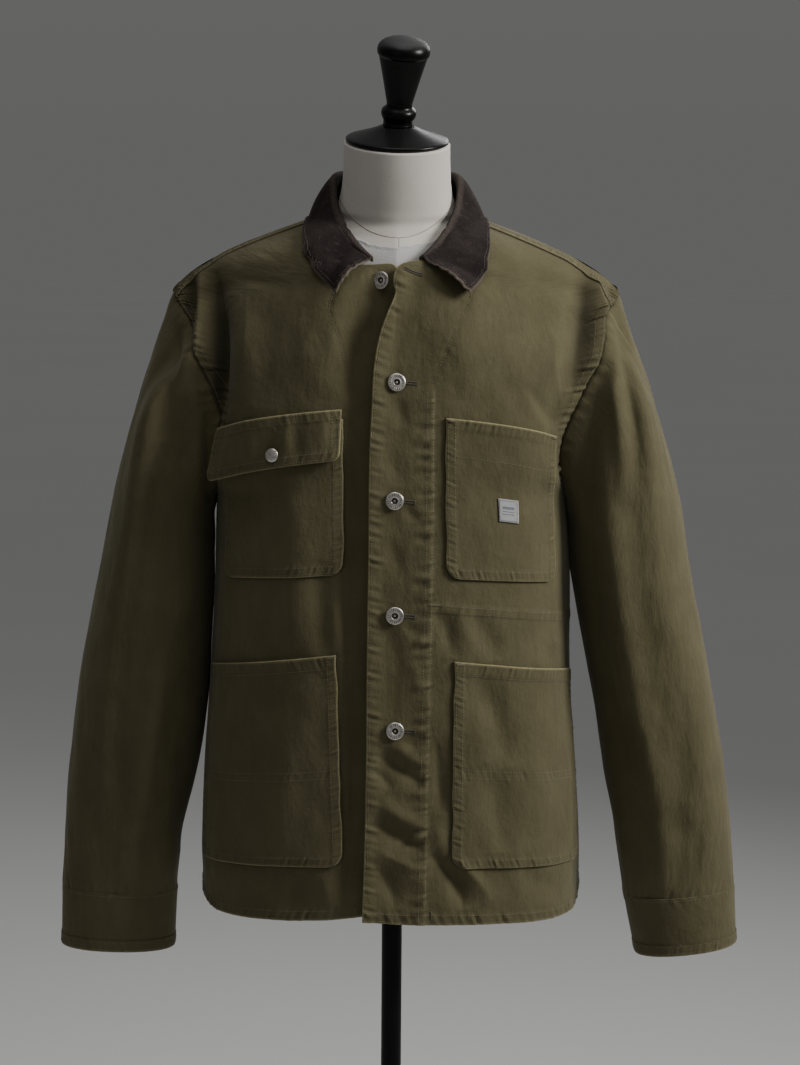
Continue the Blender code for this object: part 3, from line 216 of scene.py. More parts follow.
# ---- pockets and small pieces
POCKETS = {
    "chest_pocket_left": dict(host="front_left", inner_top=0.0525, inner_foot=0.054, outer=0.1765,
                              foot=1.069, top=1.222, corner=0.014),
    "chest_pocket_right": dict(host="front_right", inner_top=0.0455, inner_foot=0.045, outer=0.182,
                               foot=1.071, top=1.22, corner=0.013),
    "lower_pocket_left": dict(host="front_left", inner_top=0.0625, inner_foot=0.06, outer=0.221,
                              foot=0.784, top=0.989, corner=0.014, slant=-0.0085),
    "lower_pocket_right": dict(host="front_right", inner_top=0.051, inner_foot=0.046, outer=0.221,
                               foot=0.784, top=0.9935, corner=0.014, slant=-0.01),
}
FLAP = dict(inner_top=0.0475, inner_foot=0.0475, outer=0.1845, foot=1.1815, top=1.229, corner=0.008,
            flare=0.0035)
LABEL = dict(inner=0.1045, outer=0.1255, foot=1.1275, top=1.1495)
LABEL_WALL = 0.0006
LABEL_INSET = 0.0012     # of its stitches
# Across and row of each; the first is on the under front.
BUTTONS = ((0.0165, 1.3478), (0.004, 1.252), (0.0045, 1.14), (0.005, 1.03), (0.0055, 0.918))
BUTTONHOLE = 0.0178
NECK_BUTTONHOLE = (0.0105, 1.363, 0.018, -0.33)    # across, row, length and slope
SLIT_HALF = 0.0007
BUTTON_TILTS = ((0.12, -0.56), (0.02, 0.05), (-0.03, -0.04), (0.03, 0.06), (-0.02, 0.03))
STUD = (0.113, 1.194)

# ---- creases: start x and z, end x and z, bend, half width and height (negative is a trough).
# An eighth value makes the crest crisp and widens its left side.
CREASES = {
    "front_left": (
        (0.1925, 1.362, 0.21, 1.228, 0.004, 0.009, 0.011, -0.55),
        (0.184, 1.356, 0.17, 1.24, 0.005, 0.01, -0.009),
        (0.211, 1.324, 0.22, 1.255, 0.002, 0.007, -0.007),
        (0.156, 1.3, 0.164, 1.216, -0.006, 0.01, 0.003, 0.3),
        (0.127, 1.25, 0.155, 1.207, 0, 0.007, -0.0026),
        (0.111, 1.263, 0.137, 1.217, 0.004, 0.009, 0.0013),
        (0.002, 1.237, 0.006, 1.209, 0.002, 0.006, -0.0013),
        (-0.01, 1.183, 0.005, 1.154, 0.003, 0.007, -0.0011),
        (0.009, 1.134, 0.022, 1.12, 0, 0.005, -0.0013),
        (-0.009, 1.105, 0.006, 1.062, 0.003, 0.008, -0.0014),
        (0.01, 1.023, 0.024, 1.009, 0, 0.005, -0.0013),
        (-0.009, 1.015, 0.004, 0.976, 0.004, 0.008, -0.0014),
        (0.006, 0.994, 0.026, 0.945, 0.005, 0.008, 0.0013),
        (-0.016, 0.896, 0.03, 0.866, -0.003, 0.0095, -0.0058, 0.35),
        (-0.006, 0.909, 0.034, 0.884, -0.003, 0.008, 0.0034),
        (-0.02, 0.882, -0.001, 0.86, 0, 0.008, -0.0042, 0.35),
        (-0.024, 0.832, 0.03, 0.799, -0.003, 0.0105, -0.0066, 0.35),
        (-0.012, 0.848, 0.034, 0.82, -0.003, 0.0085, 0.0042),
        (-0.016, 0.802, 0.03, 0.78, -0.002, 0.008, 0.003, -0.3),
        (-0.017, 0.785, 0.003, 0.742, 0.003, 0.01, -0.0045, 0.35),
        (0.011, 0.909, 0.024, 0.9, 0, 0.005, -0.0011),
        (0.042, 1.035, 0.054, 0.989, 0.004, 0.008, -0.0033),
        (0.076, 1.027, 0.097, 0.984, 0.004, 0.01, -0.0026),
        (0.056, 1.043, 0.072, 0.989, 0.004, 0.009, 0.0013),
        (0.04, 0.911, 0.047, 0.835, 0.002, 0.008, -0.004, 0.3),
        (0.035, 0.797, 0.071, 0.741, 0.005, 0.01, -0.0085, 0.35),
        (0.054, 0.796, 0.098, 0.745, 0.004, 0.01, 0.0048, -0.3),
        (0.04, 0.827, 0.053, 0.767, 0.003, 0.008, 0.002),
        (0.076, 0.975, 0.112, 0.88, 0.005, 0.014, -0.0052),
        (0.09, 0.885, 0.104, 0.796, 0.004, 0.014, -0.0048),
        (0.132, 0.955, 0.144, 0.808, 0.006, 0.016, 0.002),
        (0.072, 1.198, 0.101, 1.169, 0, 0.016, 0.001),
        (0.121, 1.121, 0.14, 1.082, 0, 0.016, -0.0011),
        (0.033, 1.331, 0.072, 1.236, 0.01, 0.022, 0.002),
        (0.08, 1.331, 0.157, 1.303, -0.008, 0.026, -0.002),
        (0.052, 1.303, 0.138, 1.275, -0.006, 0.024, 0.0014),
        (0.146, 1.043, 0.161, 0.995, 0, 0.01, -0.0014),
        (0.125, 0.78, 0.169, 0.748, -0.004, 0.009, -0.002),
    ),
    "front_right": (
        (-0.1945, 1.368, -0.1935, 1.215, 0.001, 0.0054, 0.0045, -0.25),
        (-0.179, 1.356, -0.18, 1.19, 0.0088, 0.0078, -0.0175, 0.3),
        (-0.2035, 1.366, -0.204, 1.27, 0.002, 0.0062, -0.0105),
        (-0.1, 1.167, -0.098, 0.988, 0.004, 0.02, 0.0053),
        (-0.065, 1.081, -0.069, 0.988, -0.003, 0.012, -0.0043),
        (-0.037, 1.226, -0.042, 0.984, 0, 0.012, -0.0056),
        (-0.04, 0.984, -0.041, 0.742, 0.003, 0.011, -0.0053),
        (-0.143, 1.08, -0.148, 0.988, 0, 0.018, -0.0026),
        (-0.071, 0.968, -0.106, 0.796, -0.008, 0.015, 0.0036),
        (-0.09, 0.954, -0.097, 0.796, 0, 0.013, -0.0026),
        (-0.138, 0.944, -0.142, 0.796, 0.004, 0.018, -0.0023),
        (-0.057, 1.042, -0.054, 0.988, 0, 0.007, 0.002),
        (-0.09, 0.776, -0.101, 0.734, 0.002, 0.01, -0.0026),
        (-0.138, 0.774, -0.126, 0.738, 0, 0.011, 0.002),
        (-0.068, 0.778, -0.06, 0.739, 0, 0.009, 0.002),
        (-0.048, 1.331, -0.041, 1.235, 0.004, 0.014, -0.0033),
        (-0.158, 1.33, -0.148, 1.225, 0.006, 0.016, 0.003),
        (-0.091, 1.311, -0.072, 1.235, 0.006, 0.02, 0.0014),
        (-0.134, 1.33, -0.127, 1.225, 0.004, 0.02, -0.0014),
        (-0.171, 1.155, -0.165, 1.08, 0, 0.009, -0.002),
    ),
    "back": (
        (-0.155, 1.3, -0.12, 1.12, 0.01, 0.016, -0.0058),
        (0.15, 1.29, 0.126, 1.1, -0.012, 0.015, -0.0058),
        (-0.13, 1.29, -0.098, 1.15, 0.008, 0.018, 0.0046),
        (0.132, 1.3, 0.104, 1.14, -0.006, 0.017, 0.0043),
        (-0.15, 1.165, -0.06, 1.08, -0.012, 0.014, -0.0046),
        (0.155, 1.15, 0.07, 1.06, 0.014, 0.014, -0.0043),
        (-0.145, 1.1, -0.07, 1, -0.01, 0.013, 0.0036),
        (0.142, 1.09, 0.05, 0.985, 0.008, 0.014, 0.0036),
        (-0.06, 1.06, -0.072, 0.76, 0.006, 0.017, -0.0049),
        (0.02, 1.1, 0.012, 0.77, -0.006, 0.02, 0.0049),
        (0.082, 1.02, 0.094, 0.74, 0.004, 0.016, -0.0053),
        (-0.118, 0.96, -0.124, 0.735, 0.003, 0.014, 0.0043),
        (0.138, 0.95, 0.14, 0.74, -0.004, 0.013, 0.0033),
        (-0.03, 0.9, -0.024, 0.735, 0, 0.014, -0.0036),
        (0.05, 0.88, 0.058, 0.735, 0.003, 0.012, -0.0026),
        (-0.06, 1.34, 0.05, 1.345, 0.012, 0.02, -0.0023),
    ),
    "sleeve_right": (
        (-0.1925, 1.29, -0.196, 1.12, 0.004, 0.009, 0.007),
        (-0.2, 1.345, -0.229, 1.19, -0.004, 0.01, -0.009),
        (-0.18, 1.245, -0.179, 1.125, 0, 0.008, -0.008),
        (-0.217, 1.302, -0.277, 0.862, -0.012, 0.015, 0.0074),
        (-0.208, 1.234, -0.272, 0.82, -0.022, 0.012, -0.0083),
        (-0.194, 1.077, -0.254, 0.746, -0.014, 0.015, 0.0069),
        (-0.212, 0.887, -0.21, 0.772, 0.004, 0.012, -0.0058),
        (-0.297, 0.872, -0.298, 0.751, 0, 0.012, -0.0025),
        (-0.25, 0.802, -0.24, 0.743, 0, 0.008, -0.003),
        (-0.224, 0.792, -0.23, 0.743, 0.002, 0.008, 0.0026),
        (-0.27, 0.781, -0.268, 0.743, 0, 0.007, 0.0023),
    ),
    "sleeve_left": (
        (0.203, 1.3, 0.225, 1.13, 0.003, 0.009, 0.0075),
        (0.213, 1.31, 0.238, 1.16, 0.003, 0.0095, -0.007),
        (0.194, 1.255, 0.19, 1.11, 0.002, 0.009, -0.005),
        (0.193, 1.295, 0.283, 0.755, -0.016, 0.015, 0.0074),
        (0.187, 1.227, 0.258, 0.773, -0.02, 0.012, -0.0074),
        (0.27, 0.996, 0.29, 0.836, 0.006, 0.014, -0.0036),
        (0.229, 1.213, 0.269, 1.016, -0.004, 0.022, -0.0026),
        (0.301, 0.996, 0.321, 0.786, -0.006, 0.014, 0.003),
        (0.276, 0.83, 0.288, 0.743, 0.003, 0.013, -0.0026),
        (0.262, 0.815, 0.268, 0.741, 0, 0.011, 0.0018),
        (0.301, 0.815, 0.308, 0.745, 0, 0.013, -0.0016),
        (0.208, 1.3, 0.24, 1.164, -0.004, 0.016, 0.0023),
    ),
}
# Crease troughs deeper than this get painted shade, darker by this much per metre of depth.
DEEP_CREASE = 0.0088
DARK_PER_METRE = 130.0
# The same on the hidden back of each sleeve, across x without its sign.
SLEEVE_BACK = (
    (0.2, 1.24, 0.25, 1.05, 0.01, 0.014, -0.0038),
    (0.225, 1.22, 0.262, 1, 0.006, 0.015, 0.003),
    (0.215, 1.06, 0.285, 0.985, 0.008, 0.011, -0.0034),
    (0.212, 1.02, 0.28, 0.95, -0.006, 0.01, 0.0026),
    (0.222, 0.99, 0.29, 0.925, 0.006, 0.011, -0.0032),
    (0.235, 0.93, 0.262, 0.78, 0.005, 0.014, -0.003),
    (0.285, 0.92, 0.3, 0.77, -0.004, 0.012, 0.0024),
    (0.255, 0.88, 0.282, 0.752, 0.004, 0.011, 0.0022),
)
COLLAR_CREASES = (
    (0.06, 1.437, 0.068, 1.418, 0, 0.003, -0.0008),
    (0.07, 1.425, 0.077, 1.398, 0.002, 0.004, 0.0007),
    (0.057, 1.402, 0.064, 1.375, 0.001, 0.003, -0.0007),
    (0.074, 1.395, 0.082, 1.368, 0, 0.005, -0.0006),
    (0.048, 1.384, 0.074, 1.362, 0.004, 0.005, 0.0006),
    (-0.06, 1.42, -0.072, 1.375, 0.004, 0.006, 0.0006),
    (-0.052, 1.395, -0.07, 1.352, 0.003, 0.005, -0.0006),
    (-0.072, 1.388, -0.078, 1.35, 0, 0.005, 0.0006),
)

# ---- seam lines on the fronts: points (across, row)
PLACKET_LINE = points_of((0.0328, 0.7255), (0.0345, 0.79), (0.0369, 0.8826), (0.0396, 1.0135),
                         (0.0405, 1.09), (0.0412, 1.1639), (0.04, 1.245))
FACING_LINES = {
    LEFT: points_of((0.0379, 1.2536), (0.0556, 1.2972), (0.0729, 1.3385), (0.08, 1.36)),
    RIGHT: points_of((0.0438, 1.2633), (0.0533, 1.2972), (0.064, 1.323), (0.056, 1.365),
                     (0.0351, 1.4282)),
}
CROSS_LINE = points_of((0.0377, 1.0426), (0.1084, 1.0405), (0.21, 1.036))
NOTCH_LINE = points_of((-0.016, 1.2285), (-0.0054, 1.2366))
SHOULDER_LINES = {
    LEFT: points_of((0.0, 1.4455), (0.04, 1.441), (0.0738, 1.4365), (0.1, 1.434), (0.125, 1.4305),
                    (0.15, 1.4185), (0.1756, 1.4015), (0.199, 1.387), (0.214, 1.38)),
    RIGHT: points_of((0, 1.448), (0.05, 1.446), (0.1, 1.443), (0.13, 1.438), (0.155, 1.428),
                     (0.18, 1.41), (0.2, 1.393), (0.214, 1.385)),
}
# Ripples beside the seams: height, place and reach off the seam, and period.
PUCKERS = {
    "hem": (0.0015, 0.0055, 0.0062, 0.009),
    "armhole": (0.0021, 0.0062, 0.0066, 0.0072),
    "side": (0.00045, 0.0045, 0.0055, 0.0085),
    "edge_left": (0.00125, 0.0062, 0.0058, 0.0088),
    "edge_right": (0.0002, 0.0062, 0.0058, 0.0088),
    "placket_in": (0.002, 0.0085, 0.006, 0.015),
    "placket_out": (0.00065, 0.002, 0.0048, 0.007),
    "cross": (0.0006, 0.0035, 0.006, 0.009),
}

# ---- grid steps and turned edges: distance in from the edge, and share of the wall down
PANEL_STEP = 0.0024
BACK_STEP = 0.0038
ROW_SHARE = 0.62
SLEEVE_SIDES = 168
SLEEVE_AROUND = 0.26     # half the way round, where the cloth's own measure is counted
CUFF_AROUND = 0.17
SLEEVE_STEP = 0.0032
PATCH_STEP = 0.0015
FREE_EDGE = points_of((0.012, 1), (0.003, 1), (0.0008, 0.97), (0.0001, 0.78), (-0.0003, 0.5), (0, 0.22),
                      (0.0008, 0.05), (0.002, 0))
SEAM_EDGE = points_of((0.0001, 0.9), (0.0003, 0.45), (0.0009, 0.14), (0.002, 0))
PATCH_EDGE = points_of((0.002, 0.99), (0.0005, 0.92), (0.0001, 0.66), (-0.0001, 0.36), (0.0005, 0.09),
                       (0.0016, 0))
OPEN_EDGE = np.zeros((1, 2))
# The fold along a shoulder seam: distance over the seam, and height.
FELL = points_of((-0.0008, -0.0003), (-0.001, 0.0004), (-0.0009, 0.001), (-0.0004, 0.0014),
                 (0.0004, 0.0015), (0.0014, 0.0014), (0.0026, 0.001), (0.004, 0.0013), (0.0054, 0.0009),
                 (0.0064, 0.0011), (0.0072, 0.0006), (0.0076, -0.0003))

# A stitch: place along it, size and rise of each of its rings.
THREAD_RINGS = ((-0.5, 0.45, -0.9), (-0.24, 1.0, 0.4), (0.24, 1.0, 0.4), (0.5, 0.45, -0.9))
THREAD_SIDES = 4
STITCH_PITCH = 0.0029
POCKET_ROWS = (0.0022, 0.0088)    # how far in from an edge its two rows of stitches lie
FLAP_ROWS = (0.0022, 0.0086)
ARM_SEAM = (1.1, 1.13)           # half turns round the sleeve
STITCH_LENGTH = 0.0022
THREAD_WIDTH = 0.0004
THREAD_HEIGHT = 0.00026


# ---- curves and surfaces
def smooth(knots, values, at):
    """Cubic curve through the values, with each knot's slope from its neighbours."""
    slope = np.gradient(values, knots, axis=0)
    at = np.clip(np.asarray(at, float), knots[0], knots[-1])
    i = np.clip(np.searchsorted(knots, at, side="right") - 1, 0, len(knots) - 2)
    span = knots[i + 1] - knots[i]
    t = (at - knots[i]) / span
    if values.ndim > 1:
        t, span = t[..., None], span[..., None]
    start = (2 * t**3 - 3 * t**2 + 1) * values[i] + (t**3 - 2 * t**2 + t) * span * slope[i]
    end = (3 * t**2 - 2 * t**3) * values[i + 1] + (t**3 - t**2) * span * slope[i + 1]
    return start + end


def read(shape, names, at):
    """Smooth curves of a table's columns; several come side by side."""
    columns = [shape[name] for name in names.split()]
    values = columns[0] if len(columns) == 1 else np.stack(columns, axis=1)
    return smooth(next(iter(shape.values())), values, at)


def ease(value, low, high):
    """0 below low, 1 above high, with soft ends."""
    t = np.clip((value - low) / (high - low), 0.0, 1.0)
    return t * t * (3 - 2 * t)


def bell(value, width):
    return np.exp(-(value / width) ** 2)


def hump(share):
    """A half wave: 0 at both ends of 0 to 1 and 1 in the middle."""
    return np.sin(math.pi * np.clip(share, 0, 1))


def unit(vectors):
    return vectors / np.maximum(np.linalg.norm(vectors, axis=-1, keepdims=True), 1e-12)


def run_of(points):
    """Lengths from the first of a run of points, or of many runs side by side."""
    legs = np.linalg.norm(np.diff(points, axis=0), axis=-1)
    return np.concatenate((np.zeros((1, *legs.shape[1:])), np.cumsum(legs, axis=0)))


def along_run(points, run, at):
    """Points at given lengths along a run."""
    return np.stack([np.interp(at, run, column) for column in points.T], axis=1)


def grid_normals(points):
    return unit(np.cross(np.gradient(points, axis=1), np.gradient(points, axis=0)))


def bezier(control, t):
    u = 1 - t
    weights = np.stack((u**3, 3 * u**2 * t, 3 * u * t**2, t**3), axis=-1)
    return np.einsum("rck,rkd->rcd", weights, control)


def controls(panel, rows):
    start, start_handle, end, end_handle = (
        read(panel, names, rows) for names in ("cx cy cz", "hcx hcy hcz", "sx sy sz", "hsx hsy hsz"))
    return np.stack((start, start + start_handle, end + end_handle, end), axis=1)


def lengths(control):
    steps = np.linspace(0.0, 1.0, 81)
    dense = bezier(control, np.tile(steps, (len(control), 1)))
    return steps, run_of(dense.swapaxes(0, 1)).T


def section_length(panel, rows):
    return lengths(controls(panel, rows))[1][:, -1]


def on_section(panel, rows, across):
    """Points at distances along the cloth; a negative distance lies past the centre line."""
    control = controls(panel, rows)
    steps, run = lengths(control)
    t = np.array([np.interp(np.abs(a), r, steps) for a, r in zip(across, run)])
    points = bezier(control, t)
    centre = control[:, :1, 0]
    points[..., 0] = np.where(across < 0, 2 * centre - points[..., 0], points[..., 0])
    return points


def surface(panel, rows, across):
    """Points and outward normals of a panel, for the wearer's left."""
    step = 0.0015
    length = section_length(panel, rows)[:, None]
    points = on_section(panel, rows, across)
    wide = (on_section(panel, rows, np.minimum(across + step, length))
            - on_section(panel, rows, np.minimum(across, length) - step))
    tall = np.zeros_like(points)
    for sign in (1, -1):
        near = np.clip(rows + sign * step, panel["row"][0], panel["row"][-1])
        ratio = section_length(panel, near)[:, None] / length
        tall += sign * on_section(panel, near, across * ratio)
    facing = 1 if panel is FRONT else -1
    return points, facing * unit(np.cross(wide, tall))


# ---- creases and ripples
def nearest(x, y, line):
    """Distance from a line of points, place on it counted in legs, and side (left is positive)."""
    best = np.full(x.shape, 1e9)
    place = np.zeros(x.shape)
    side = np.zeros(x.shape)
    for k, (start, leg) in enumerate(zip(line, np.diff(line, axis=0))):
        dx, dy = x - start[0], y - start[1]
        share = np.clip((dx * leg[0] + dy * leg[1]) / (leg @ leg), 0, 1)
        gap = np.hypot(dx - share * leg[0], dy - share * leg[1])
        closer = gap < best
        best[closer] = gap[closer]
        place[closer] = (k + share)[closer]
        side[closer] = (leg[0] * dy - leg[1] * dx)[closer]
    return best, place, side


def near_line(across, rows, line):
    """Distance from a seam line on a panel, and the length along it."""
    line = np.array(line)
    best, place, _ = nearest(across, rows, line)
    return best, np.interp(place, np.arange(len(line)), run_of(line))


def above_line(across, rows, line):
    """Height over a line that runs across the panel."""
    return rows - np.interp(across, line[:, 0], line[:, 1])


def crease_relief(creases, x, z):
    """How far the creases lift the cloth at each place."""
    total = np.zeros(x.shape)
    t = np.linspace(0, 1, 22)
    for x0, z0, x1, z1, bend, width, height, *crisp in creases:
        reach = 3 * width + abs(bend)
        near = ((x > min(x0, x1) - reach) & (x < max(x0, x1) + reach)
                & (z > min(z0, z1) - reach) & (z < max(z0, z1) + reach))
        if not near.any():
            continue
        way = np.array((x1 - x0, z1 - z0))
        aside = np.array((z0 - z1, x1 - x0)) / math.hypot(*way)
        line = np.array((x0, z0)) + t[:, None] * way + (4 * bend * t * (1 - t))[:, None] * aside
        gap, place, hand = nearest(x[near], z[near], line)
        fade = np.sin(math.pi * np.clip(place / (len(t) - 1), 0.001, 0.999)) ** 0.7
        if crisp:
            shape = np.exp(-(gap / (width * (1 + crisp[0] * np.sign(hand)))) ** 1.25)
        else:
            shape = bell(gap, width)
        total[near] += height * fade * shape
    return total


def deep_shade(creases, points):
    """In the deepest creases the attribute goes negative: painted shade in their troughs."""
    deep = [crease for crease in creases if crease[6] < -DEEP_CREASE]
    return (DARK_PER_METRE * crease_relief(deep, points[..., 0], points[..., 2])).clip(-1.6, 0.0)


def ripple(along, period, seed):
    """An uneven wave along a seam, between about -1 and 1."""
    rng = np.random.default_rng(seed)
    total = 0
    for factor, weight in ((1.0, 0.55), (1.43, 0.4), (0.71, 0.32), (2.6, 0.22)):
        total = total + weight * np.sin(2 * math.pi * along / (period * factor) + rng.uniform(0, 6.28))
    return total


def pucker(along, distance, centre, reach, period, seed, slant=0.35):
    """Ripples beside a seam: uneven in size, and leaning a little."""
    wave = ripple(along + slant * distance, period, seed)
    size = 0.62 + 0.38 * ripple(along, 4.3 * period, seed + 500)
    return wave * size * bell(distance - centre, reach)


def grain(u, v, size_u, size_v, seed):
    """Seeded soft noise between about -1 and 1, with cells of the given sizes."""
    grid = np.random.default_rng(seed).uniform(-1, 1, (64, 64))
    x, y = u / size_u + 500.0, v / size_v + 500.0
    i, j = np.floor(x).astype(int), np.floor(y).astype(int)
    a, b = ease(x - i, 0.0, 1.0), ease(y - j, 0.0, 1.0)
    corner = [grid[(i + di) % 64, (j + dj) % 64] for di, dj in ((0, 0), (1, 0), (0, 1), (1, 1))]
    return (corner[0] * (1 - a) + corner[1] * a) * (1 - b) + (corner[2] * (1 - a) + corner[3] * a) * b


def rumple(u, v, seed):
    """Small soft unevenness of cloth that was washed and worn."""
    total = 0.0
    for size_u, size_v, height in ((0.045, 0.095, 0.0011), (0.024, 0.046, 0.0007), (0.013, 0.022, 0.00032)):
        seed += 1
        lean = 0.35 * grain(u, v, 0.12, 0.12, seed + 70)
        total = total + height * grain(u + lean * 0.06, v, size_u, size_v, seed)
    return total


# ---- grids of cloth
class Sheet:
    """A grid of points on the cloth, with the values that name its rows (v) and columns (u).

    Its main part lies inside the turned edges, whose rows and columns edges counts."""

    def __init__(self, points, v, u, wear_and_shade, flat, outward, edges=(0, 0, 0, 0)):
        self.points, self.wear_and_shade, self.flat = points, wear_and_shade, flat
        rows, columns = points.shape[:2]
        self.main = (slice(edges[0], rows - edges[1]), slice(edges[2], columns - edges[3]))
        self.v = v[self.main[0]]
        self.u = u[self.main]
        normals = grid_normals(points)
        self.flip = np.mean(np.sum((normals * outward)[self.main], axis=-1)) < 0
        self.normals = -normals if self.flip else normals
        self.field = np.concatenate((points, self.normals), axis=-1)[self.main]

    def at(self, v, u):
        """Points and normals at row values v and column values u."""
        order = 1 if self.v[-1] > self.v[0] else -1
        place = np.interp(v, self.v[::order], np.arange(len(self.v))[::order])
        low = np.clip(np.floor(place).astype(int), 0, len(self.v) - 2)
        part = (place - low)[:, None]
        last = self.u.shape[1] - 1
        found = 0.0
        for r, weight in ((low, 1 - part), (low + 1, part)):
            at = np.array([np.interp(b, self.u[a], np.arange(last + 1)) for a, b in zip(r, u)])
            c = np.clip(np.floor(at).astype(int), 0, last - 1)
            w = (at - c)[:, None]
            found = found + weight * (self.field[r, c] * (1 - w) + self.field[r, c + 1] * w)
        return found[:, :3], unit(found[:, 3:])


def rolled(low, high, step, low_edge, high_edge):
    """Positions from low to high with the turned edges, and how far under the face each lies."""
    low = np.asarray(low, float)[..., None]
    high = np.asarray(high, float)[..., None]
    first, last = low_edge[:, 0], high_edge[::-1, 0]
    count = max(3, int(round(float(np.max(high - low)) / step)))
    start = low + first[-1]
    end = high - last[0]
    t = np.linspace(0, 1, count)[1:-1]
    places = np.concatenate((low + first, start + (end - start) * t, high - last), axis=-1)
    return places, np.concatenate((low_edge[:, 1], np.zeros(count - 2), high_edge[::-1, 1]))


def is_turned(drop, most=0.7):
    return (drop > 0.02) & (drop < most)


def inner_side(size, rows):
    """A pocket's side next to the centre line."""
    share = (rows - size["foot"]) / (size["top"] - size["foot"])
    return size["inner_foot"] + (size["inner_top"] - size["inner_foot"]) * share


def pocket_outline(size, inset, top):
    """The U of stitches inside a pocket's edge."""
    corner = max(size["corner"] - inset, 0.002)
    foot = size["foot"] + inset
    left = inner_side(size, foot) + inset
    right = size["outer"] - inset
    turn = [(corner * (1 - math.cos(a)), foot + corner * (1 - math.sin(a)))
            for a in np.linspace(0, math.pi / 2, 9)]
    return ([(inner_side(size, top) + inset, top)] + [(left + x, y) for x, y in turn]
            + [(right - x, y) for x, y in turn[::-1]] + [(right, top)])


# ---- the body panels
PIECES = {
    "front_left": dict(panel=FRONT, side=LEFT, edge=OVER_EDGE, lift=LAP, seed=11),
    "front_right": dict(panel=FRONT, side=RIGHT, edge=UNDER_EDGE, lift=0.0, seed=23),
    "back_left": dict(panel=BACK, side=LEFT, edge=None, lift=0.0, seed=37),
    "back_right": dict(panel=BACK, side=RIGHT, edge=None, lift=0.0, seed=41),
}


def panel_base(name, rows, across):
    """Points and normals of a body panel with its folds and creases, before its seams."""
    if rows.ndim == 2:
        points, normals = panel_base(name, rows.ravel(), across.reshape(-1, 1))
        return points.reshape(*rows.shape, 3), normals.reshape(*rows.shape, 3)
    piece = PIECES[name]
    panel, side = piece["panel"], piece["side"]
    points, normals = surface(panel, rows, across)
    share = across / section_length(panel, rows)[:, None]
    points[..., 0] += read(SEAM_SHIFT[side], "out", rows)[:, None] * ease(share, 0.45, 1.0)
    if panel is FRONT:
        points[..., 2] += read(NECK_SHIFT[side], "up", rows)[:, None] * (1 - ease(across, -0.01, 0.055))
    hem = np.interp(across, HEM_SHIFT[name]["across"], HEM_SHIFT[name]["up"])
    points[..., 2] += hem * (1 - ease(rows - HEM, 0.0, 0.06))[:, None]
    push = piece["lift"] * (1 - ease(across, *LAP_REACH)) * (1 - ease(rows, *LAP_TOP))[:, None]
    if panel is FRONT:
        z = points[..., 2]
        inside = (z > ARM_TROUGH["z"][0]) & (z < ARM_TROUGH["z"][-1])
        depth = np.where(inside, read(ARM_TROUGH, "depth", z), 0.0)
        push = push - depth * bell(points[..., 0] - read(ARM_TROUGH, "x", z), TROUGH_WIDTH)
    if name == "front_left":
        start = -read(OVER_EDGE, "x", rows)[:, None]
        push = push + read(LAP_CURL, "out", rows)[:, None] * bell(across - start, CURL_WIDTH)
    elif name == "front_right":
        push = push - (np.interp(rows, LAP_SINK["row"], LAP_SINK["in"])[:, None]
                       * (1 - ease(across, *SINK_REACH)))
    points = points + normals * push[..., None]
    points[..., 0] *= side
    normals[..., 0] *= side
    points[..., 0] += read(SWAY, "x", points[..., 2])
    x, z = points[..., 0], points[..., 2]
    relief = crease_relief(CREASES["back" if panel is BACK else name], x, z)
    if name == "front_right":
        # Under the lap it follows the over front's creases, and never rises past them.
        lap = 1 - ease(across, 0.03, 0.042)
        relief = relief * (1 - lap) + np.minimum(relief, crease_relief(CREASES["front_left"], x, z)) * lap
    seed = 600 if panel is BACK else 611
    relief = relief + rumple(side * across, rows[:, None] + 0 * across, seed) * (1 - ease(share, 0.85, 1.0))
    # Creases fade out at the shoulder and side seams, where two panels meet.
    top = panel["row"][-1]
    below = 1 - ease(rows, UNDERARM_ROW - 0.03, UNDERARM_ROW)
    relief = relief * (1 - ease(rows, top - 0.034, top - 0.006))[:, None]
    relief = relief * (1 - ease(share, 0.9, 0.99) * below[:, None])
    return points + normals * relief[..., None], normals


